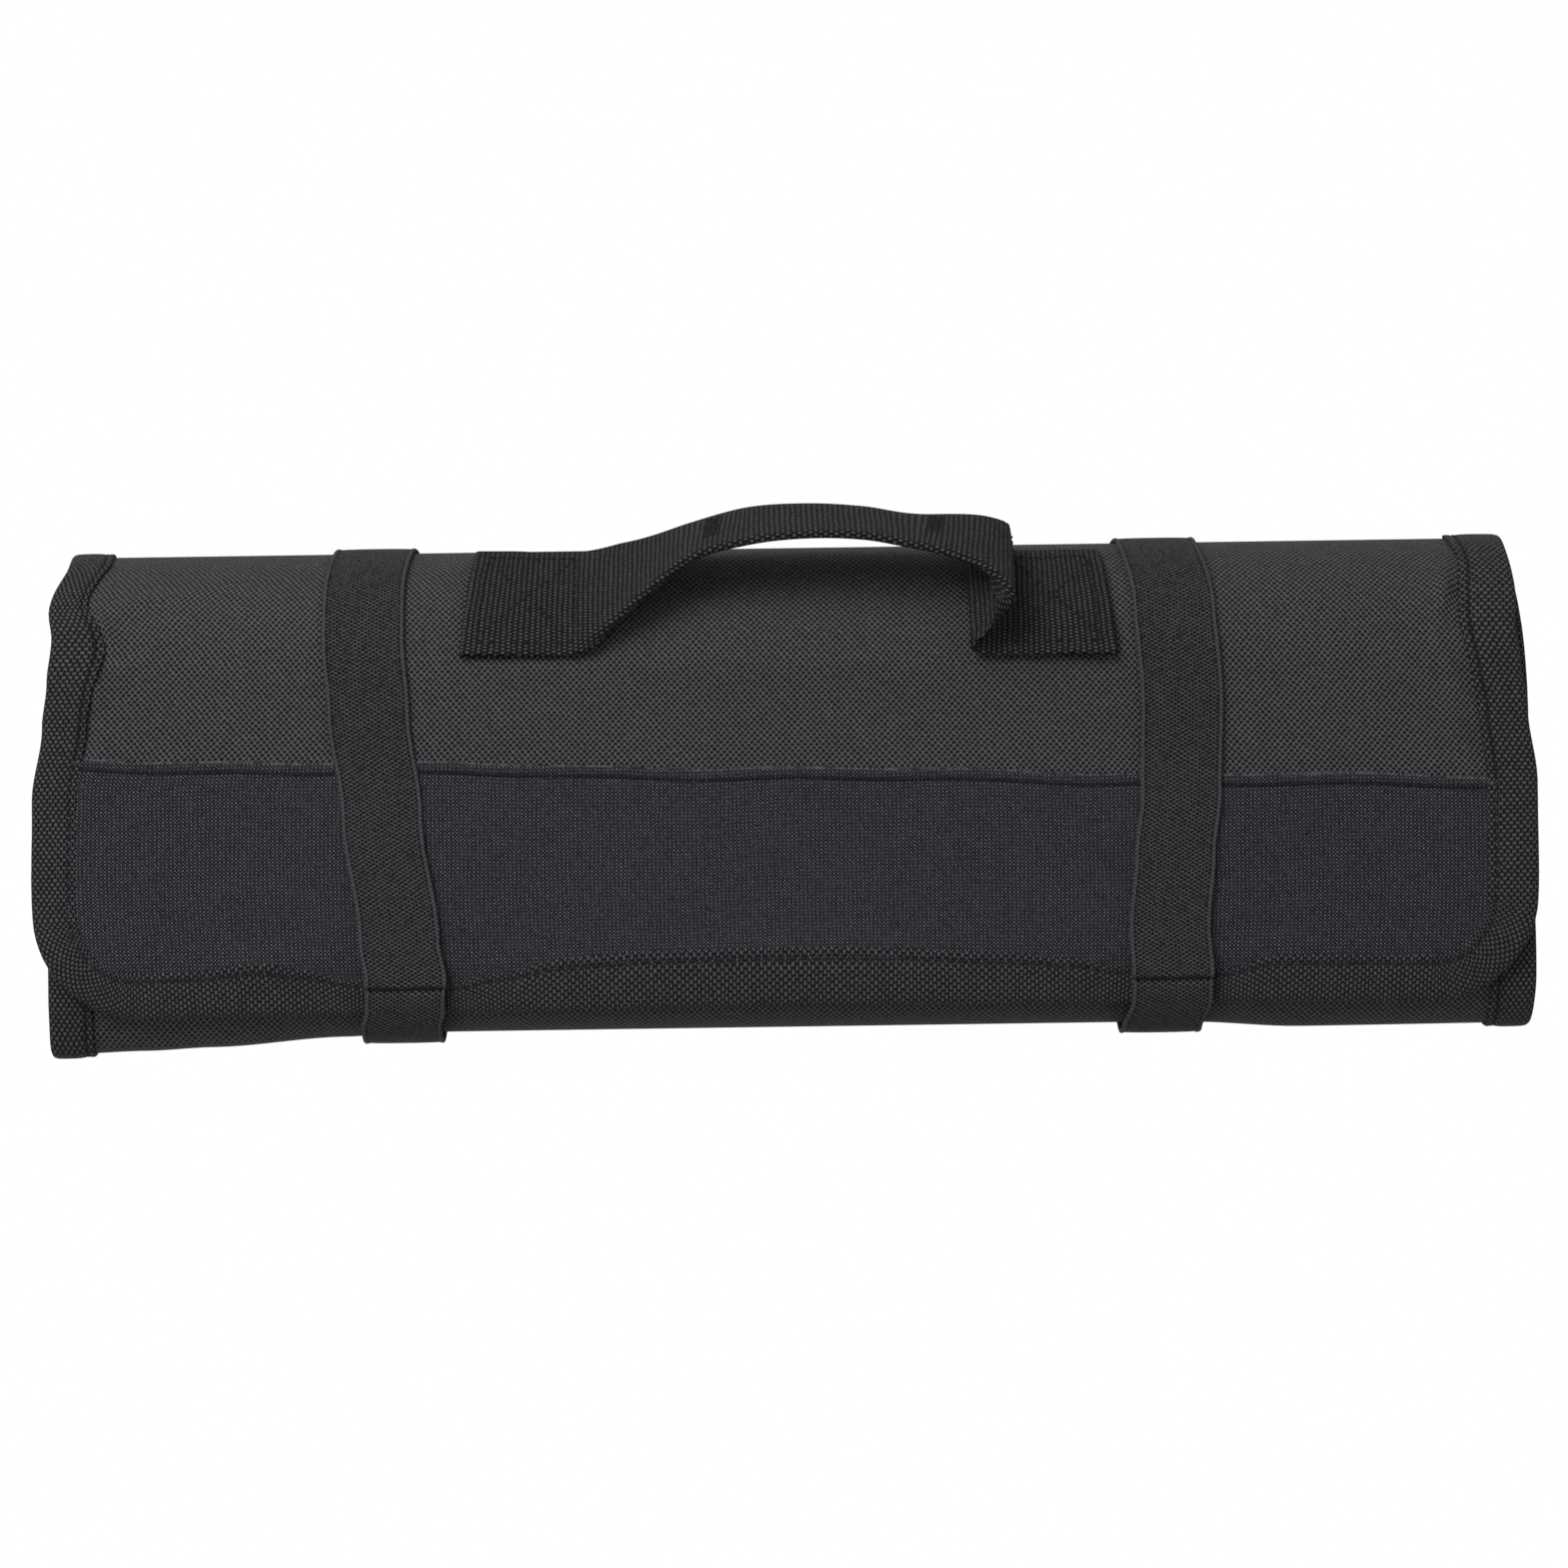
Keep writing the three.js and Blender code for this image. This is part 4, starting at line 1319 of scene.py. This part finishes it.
@dataclass
class Handle:
    """The carrying handle: hemmed patches and a grip folded lengthwise."""

    cloth: RolledCloth
    rise_more: float = 2.8
    thin: float = 0.72
    tilt: float = math.radians(9.5)
    slope: float = 0.014
    slant: float = 0.1

    def stops(self) -> list[Stop]:
        """Lays out hem, patch, arch, patch and hem.

        Returns:
            Stations from one hem to the other.
        """
        sizes = self.cloth.sizes
        middle = (sizes.handle_left + sizes.handle_right) / 2
        reach = (sizes.handle_right - sizes.handle_left) / 2
        turn = (sizes.band * self.thin + sizes.gap) / 2

        def hem(end: float, sign: float) -> list[Stop]:
            """Lays out one sewn end.

            Args:
                end: Place of the hem's fold along the roll.
                sign: Direction from the fold to the grip.

            Returns:
                Stations of the turned hem and of the patch over it.
            """
            made = [Stop(end + sign * (turn + sizes.hem * k), 0.0) for k in (1.0, 0.75, 0.5, 0.3)]
            for k in range(9):
                a = k / 8 * math.pi
                out = sizes.band / 2 + turn - turn * math.sin(a)
                made.append(Stop(end + sign * out, turn - turn * math.cos(a)))
            for k in (0.35, 0.5, 0.65, 0.8, 0.95, 1.1, 1.3, 1.5, 1.7):
                made.append(Stop(end + sign * sizes.hem * k, 2 * turn - 0.6 * ease(0.9, 1.7, k)))
            return made

        arch = []
        for at in steps(-0.73, 0.75, 0.0125):
            h = max(0.0, curve_at(HANDLE_ROWS, "rise", at)) * (sizes.rise + self.rise_more)
            base = (2 * turn - 0.6) * (1 - ease(0, 6, h))
            arch.append(Stop(
                middle + at * reach + curve_at(HANDLE_ROWS, "push", at), h + base,
                curve_at(HANDLE_ROWS, "lean", at), curve_at(HANDLE_ROWS, "crease", at),
                min(180.0, max(0.0, curve_at(HANDLE_ROWS, "roll", at))), 1 - ease(0, sizes.rise * 0.3, h)))
        return hem(sizes.handle_left, 1) + arch + hem(sizes.handle_right, -1)[::-1]

    def line(self, stop: Stop) -> list[tuple[float, float]]:
        """Folds the webbing's width at a station.

        Args:
            stop: The station.

        Returns:
            The middle line across the webbing's width, from its back edge.
        """
        sizes = self.cloth.sizes
        half = sizes.band_width / 2
        top = half * (1 + stop.crease)
        under = sizes.band_width - top - sizes.band_fold
        rad = math.radians(stop.roll)
        parts = [(top / 8, 0.0)] * 8
        parts += [(sizes.band_fold / 4, rad * (k + 0.5) / 4) for k in range(4)] + [(under / 4, rad)] * 4
        across, up = half, 0.0
        made = [(across, up)]
        for length, turn in parts:
            across -= length * math.cos(turn)
            up -= length * math.sin(turn)
            made.append((across, up))
        return made

    def outline(self, line: list[tuple[float, float]]) -> list[tuple[float, float, float]]:
        """Thickens the line into an outline with rounded edges.

        Args:
            line: Middle line across the width.

        Returns:
            Outline points with their distance across the flat webbing.
        """
        thick = self.cloth.sizes.band * self.thin / 2
        upper, lower = [], []
        run = 0.0
        for i, p in enumerate(line):
            a, b = line[max(0, i - 1)], line[min(len(line) - 1, i + 1)]
            if i:
                run += math.dist(p, line[i - 1])
            d = Vector((b[0] - a[0], b[1] - a[1])).normalized()
            n = Vector((-d.y, d.x)) * -1.0
            edge = 0.55 if i in (0, len(line) - 1) else 1.0
            upper.append((p[0] - n.x * thick * edge, p[1] - n.y * thick * edge, run))
            lower.append((p[0] + n.x * thick * edge, p[1] + n.y * thick * edge, run))
        a, b = line[0], line[-1]
        da = Vector((line[0][0] - line[1][0], line[0][1] - line[1][1])).normalized() * 0.35
        db = Vector((line[-1][0] - line[-2][0], line[-1][1] - line[-2][1])).normalized() * 0.35
        first = (a[0] + da.x, a[1] + da.y, -0.3)
        last = (b[0] + db.x, b[1] + db.y, run + 0.3)
        return [first, *upper, last, *lower[::-1]]

    def frames(self) -> list[tuple[Vector, Vector, Vector, Stop, float]]:
        """Sets each station on the roll.

        Returns:
            Each station's place, width way, up way, the station and the run.
        """
        cloth, sizes = self.cloth, self.cloth.sizes
        y, h, by, bz = cloth.belt.at(cloth.handle_s)
        foot = cloth.half_wall + sizes.gap + sizes.band / 2 + sizes.patch_clear - sizes.flatten / 2
        places = []
        for stop in self.stops():
            lean = sizes.lean * stop.lean
            tip = lean + self.tilt * stop.lean
            ny = by * math.cos(lean) + bz * math.sin(lean)
            nz = bz * math.cos(lean) - by * math.sin(lean)
            at = Vector((stop.x, y + by * foot + ny * stop.h, h + bz * foot + nz * stop.h)) + cloth.shift
            ny = by * math.cos(tip) + bz * math.sin(tip)
            nz = bz * math.cos(tip) - by * math.sin(tip)
            wide = Vector((0, nz, -ny))
            places.append((at - wide * (self.slope * stop.x), wide, stop))
        made, run = [], 0.0
        for i, (at, wide, stop) in enumerate(places):
            if i:
                run += (at - places[i - 1][0]).length
            way = (places[min(i + 1, len(places) - 1)][0] - places[max(0, i - 1)][0]).normalized()
            wide = (wide - way * wide.dot(way)).normalized()
            made.append((at, wide, way.cross(wide).normalized(), stop, run))
        return made

    def drop(self, stop: Stop, across: float) -> Vector:
        """Sags the patch round the roll and slants its end.

        Args:
            stop: The station.
            across: Place across the webbing.

        Returns:
            The move of that place, in millimetres.
        """
        sizes = self.cloth.sizes
        seat = self.cloth.belt.at(self.cloth.handle_s)
        left = 1 - ease(0, 26, stop.x - sizes.handle_left)
        right = 1 - ease(0, 26, sizes.handle_right - stop.x)
        sag = -stop.flat * across * across / 2 / sizes.patch_bend
        return Vector(((left - right) * self.slant * across, seat[2] * sag, seat[3] * sag))

    def on_top(self, spots: Sequence[tuple[float, float]]) -> tuple[list[Vector], list[Vector]]:
        """Returns points and normals on the upper layer.

        Args:
            spots: Places along the roll and across the webbing.

        Returns:
            Points in millimetres and their normals.
        """
        upper = self.frames()[13:-13]
        points, ups = [], []
        lift = self.cloth.sizes.band * self.thin / 2 + 0.05
        for x, across in spots:
            best = min(range(len(upper) - 1), key=lambda k: abs((upper[k][0].x + upper[k + 1][0].x) / 2 - x))
            a, b = upper[best], upper[best + 1]
            t = min(1.0, max(0.0, (x - a[0].x) / (b[0].x - a[0].x)))
            at, wide, up = (a[k].lerp(b[k], t) for k in range(3))
            points.append(at + wide * across + up * lift + self.drop(a[3], across))
            ups.append(up.normalized())
        return points, ups

    def build(self) -> bpy.types.Object:
        """Builds the webbing.

        Returns:
            The dressed webbing.
        """
        part = Part("carry_handle")
        rings = []
        frames = self.frames()
        for at, wide, up, stop, run in frames:
            ring = [part.add(at + wide * a + up * b + self.drop(stop, a), run, v)
                    for a, b, v in self.outline(self.line(stop))]
            ring.append(ring[0])
            rings.append(ring)
        part.grid(rings)
        for ring, flip in ((rings[0], True), (rings[-1], False)):
            n = len(ring) - 1
            half = n // 2
            for k in range(half - 1):
                quad = (ring[k], ring[k + 1], ring[n - 2 - k], ring[n - 1 - k])
                part.faces.append(quad[::-1] if flip else quad)
        made = part.build(WEBBING, "webbing", "handle_webbing")
        frames[-1][4] * MM
        return made


# Sewing.


@dataclass
class Sewing:
    """Every visible row of stitches."""

    cloth: RolledCloth
    boxes: tuple[tuple[float, float], ...] = ((-92.0, -62.5), (69.5, 96.5))
    box_half: float = 15.6
    tacks: tuple[float, ...] = (-21.5, 45.5)
    tack_rows: int = 6
    tack_step: float = 0.72

    def on_cloth(self, spots: Sequence[tuple[float, float]], out: float) -> tuple[list[Vector], list[Vector]]:
        """Finds flat spots on the rolled cloth.

        Args:
            spots: Flat places, x and s.
            out: Distance outward from the middle of the wall.

        Returns:
            Points in millimetres and their normals.
        """
        points, ups = [], []
        for x, s in spots:
            low, high = self.cloth.place(x, s, out), self.cloth.place(x, s, out + 1.0)
            points.append(low)
            ups.append((high - low).normalized())
        return points, ups

    def flap(self) -> None:
        """Sews the facing's top edge."""
        cloth, sizes = self.cloth, self.cloth.sizes
        panel = FlapPanel(cloth)
        made = Stitches("flap_topstitch", 2.7, 0.7, 0.24)
        spots = [(x, panel.seam(x) - 3.4) for x in steps(-212.0, 212.0, 1.6)]
        made.row(*self.on_cloth(spots, cloth.half_wall + sizes.gap + sizes.facing - 0.1))
        made.build("panel_canvas")

    def binding(self) -> None:
        """Sews the binding near its inner edge."""
        cloth, sizes = self.cloth, self.cloth.sizes
        made = Stitches("binding_stitches", 2.8, 0.9, 0.26)
        tape = Binding(cloth)
        spots = []
        for station in tape.stations():
            x, s, out_x, out_s, _ = station
            reach = tape.reach(station, 2.3 - sizes.leg)
            spots.append((x + reach * out_x, s + reach * out_s))
        made.row(*self.on_cloth(spots, cloth.half_wall + sizes.gap + sizes.tape - 0.28))
        made.build("binding")

    def handle(self) -> None:
        """Sews a box with a cross on each patch and a bar at each end of the grip."""
        handle = Handle(self.cloth)
        made = Stitches("handle_stitches", 2.2, 0.5, 0.3)
        half = self.box_half
        for left, right in self.boxes:
            corners = [(left, half), (right, half), (right, -half), (left, -half)]
            corners += [(left, half), (right, -half)]
            for a, b in list(zip(corners, corners[1:])) + [((left, -half), (right, half))]:
                count = max(2, round(math.dist(a, b) / 1.2))
                shares = [k / count for k in range(count + 1)]
                spots = [(a[0] + (b[0] - a[0]) * k, a[1] + (b[1] - a[1]) * k) for k in shares]
                made.row(*handle.on_top(spots))
        made.build("webbing")
        bars = Stitches("handle_bar_tacks", 1.7, 0.15, 0.34)
        for middle in self.tacks:
            for k in range(self.tack_rows):
                x = middle + (k - (self.tack_rows - 1) / 2) * self.tack_step
                spots = [(x + 0.3 * math.sin(j * 2.4 + k), 17.0 - j * 0.9) for j in range(14)]
                bars.row(*handle.on_top(spots))
        bars.build("webbing")

    def build(self) -> None:
        """Sews everything."""
        self.flap()
        self.binding()
        self.handle()


# Camera, light and floor.


@dataclass(frozen=True)
class Studio:
    """A pale floor under broad soft lights, and the camera."""

    elevation: float = 67.02
    azimuth: float = 0.33
    roll: float = -1.13
    distance: float = 1.3365
    lens: float = 99.94
    aim: tuple[float, float, float] = (0.0001, -0.0032, 0.045)

    def camera(self) -> None:
        """Places the camera."""
        data = bpy.data.cameras.new("camera")
        data.lens = self.lens
        data.sensor_width = 36.0
        data.clip_start, data.clip_end = 0.05, 20.0
        data.dof.use_dof = False
        made = bpy.data.objects.new("camera", data)
        bpy.context.scene.collection.objects.link(made)
        a, e = math.radians(self.azimuth), math.radians(self.elevation)
        back = Vector((math.sin(a) * math.cos(e), -math.cos(a) * math.cos(e), math.sin(e)))
        made.location = Vector(self.aim) + back * self.distance
        made.rotation_mode = "QUATERNION"
        turn = (-back).to_track_quat("-Z", "Y")
        made.rotation_quaternion = turn @ Quaternion((0, 0, 1), math.radians(self.roll))
        bpy.context.scene.camera = made

    def light(self, name: str, place: tuple[float, float, float], size: float, power: float) -> None:
        """Adds one square area light aimed at the roll.

        Args:
            name: Its name.
            place: Where it stands, in metres.
            size: Length of its side, in metres.
            power: Its power in watts.
        """
        data = bpy.data.lights.new(name, "AREA")
        data.shape = "RECTANGLE"
        data.size = data.size_y = size
        data.energy = power
        made = bpy.data.objects.new(name, data)
        made.location = place
        made.rotation_mode = "QUATERNION"
        made.rotation_quaternion = (Vector((0, 0, 0.05)) - Vector(place)).to_track_quat("-Z", "Y")
        bpy.context.scene.collection.objects.link(made)

    def floor(self) -> None:
        """Adds the pale floor."""
        shader = Shader("pale_floor")
        glow = shader.node("ShaderNodeEmission", values={"Color": (1.0, 1.0, 1.0, 1.0), "Strength": 1.0})
        shader.node("ShaderNodeOutputMaterial", values={0: glow.outputs[0]})
        mesh = bpy.data.meshes.new("floor")
        half, under = 6.0, -0.0006
        corners = [(-half, -half, under), (half, -half, under), (half, half, under), (-half, half, under)]
        mesh.from_pydata(corners, [], [(0, 1, 2, 3)])
        made = bpy.data.objects.new("floor", mesh)
        mesh.materials.append(shader.material)
        bpy.context.scene.collection.objects.link(made)

    def build(self) -> None:
        """Makes camera, lights, floor and surroundings."""
        self.camera()
        self.floor()
        self.light("key", (-0.7, 0.42, 1.5), 1.0, 52.0)
        self.light("fill", (-0.6, -1.1, 1.2), 1.4, 15.5)
        self.light("rim", (1.1, 0.5, 1.1), 1.0, 11.0)
        world = bpy.data.worlds.new("studio")
        world.use_nodes = True
        back = world.node_tree.nodes["Background"]
        back.inputs[0].default_value = (1, 1, 1, 1)
        back.inputs[1].default_value = 0.45
        bpy.context.scene.world = world
        bpy.context.scene.view_settings.view_transform = "Standard"
        log.info("studio ready")


CREASES = rows("x s turn length width height", """
-205 8 20 9 2.2 -.9; -203 2 -10 8 2.2 .9; -204 16 35 9 2.2 -.8; -199 24 10 11 3 1; -206 -8 -25 8 2.4 -.7;
-203 -18 -15 7 2.2 .6; -190 20 60 16 5 .5; 206 22 80 13 3 1.5; 211 20 85 12 3 -1.9;
206 -3 -61 12 3 1.7; 211 -8 -61 11 3 -1.9; 207 -18 -62 12 3 1.3; 212 -27 -67 10 3 -1.7; 198 4 -58 18 4 -1;
-211 14 -70 7 1.9 2; -213 11 -70 6 1.8 -2; -213 -4 -66 7 2 1.5; -210 0 -66 8 2 -1.2; -214 -17 85 9 3 -1.5;
-205 0 -59 12 3.5 1; 192 -4 -50 20 5 .8; 5 6 0 46 1.7 -.6; 5 10 1 44 2 .5;
-20 26 2 30 5 -.8; 40 24 -3 26 5 -.7; -75 -14 8 30 9 .5; 60 -18 -6 36 9 -.5; -150 -30 14 34 8 .4""")
FRONT_CREASES = rows("x s turn length width height", """
-161 15 0 20 4.5 1.3; -152 8 -3 18 3 -.8; -60 30 8 60 14 .5; 90 42 -6 50 12 -.5; 10 18 1 70 5 .7;
-96 20 -16 14 4 -.9; 140 22 14 12 4 -.7; 160 14 0 26 5 .6; -190 40 70 26 6 .5; 196 36 -75 24 6 .5;
150 52 -20 26 8 -.4; -20 56 10 40 8 .4""")


def wrinkles(cloth: RolledCloth) -> list[Crease]:
    """Returns the folds seen in the cloth."""
    back = [Crease(**{**row, "s": row["s"] + cloth.back_start}) for row in CREASES]
    return back + [Crease(**row) for row in FRONT_CREASES]


def frame_shift(cloth: RolledCloth) -> Vector:
    """Finds the move from the layout frame to the row frame.

    Args:
        cloth: The rolled cloth before its move.

    Returns:
        The move in millimetres.
    """
    low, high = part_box("strap_left")
    belt = Strap(cloth, "probe", "strap_left", LEFT_STRAP).belt()
    t = cloth.sizes.strap / 2
    ends = [belt.at(s) for s in steps(0, belt.total, 0.5)]
    front = min(p[0] + t * p[2] for p in ends)
    back = max(p[0] + t * p[2] for p in ends)
    under = min(p[1] + t * p[3] for p in ends)
    return Vector((0.0, (low.y + high.y) / 2 / MM - (front + back) / 2, low.z / MM - under))


def main() -> None:
    """Builds every piece in order, then camera and light."""
    cloth = RolledCloth(S)
    cloth.shift = frame_shift(cloth)
    log.info("shift %s", tuple(round(v, 3) for v in cloth.shift))
    cloth.creases = wrinkles(cloth)
    Wrap(cloth).build()
    FlapPanel(cloth).build()
    Binding(cloth).build()
    Strap(cloth, "elastic_left", "strap_left", LEFT_STRAP).build()
    Strap(cloth, "elastic_right", "strap_right", RIGHT_STRAP).build()
    Handle(cloth).build()
    Sewing(cloth).build()
    Studio().build()


if __name__ == "__main__":
    main()
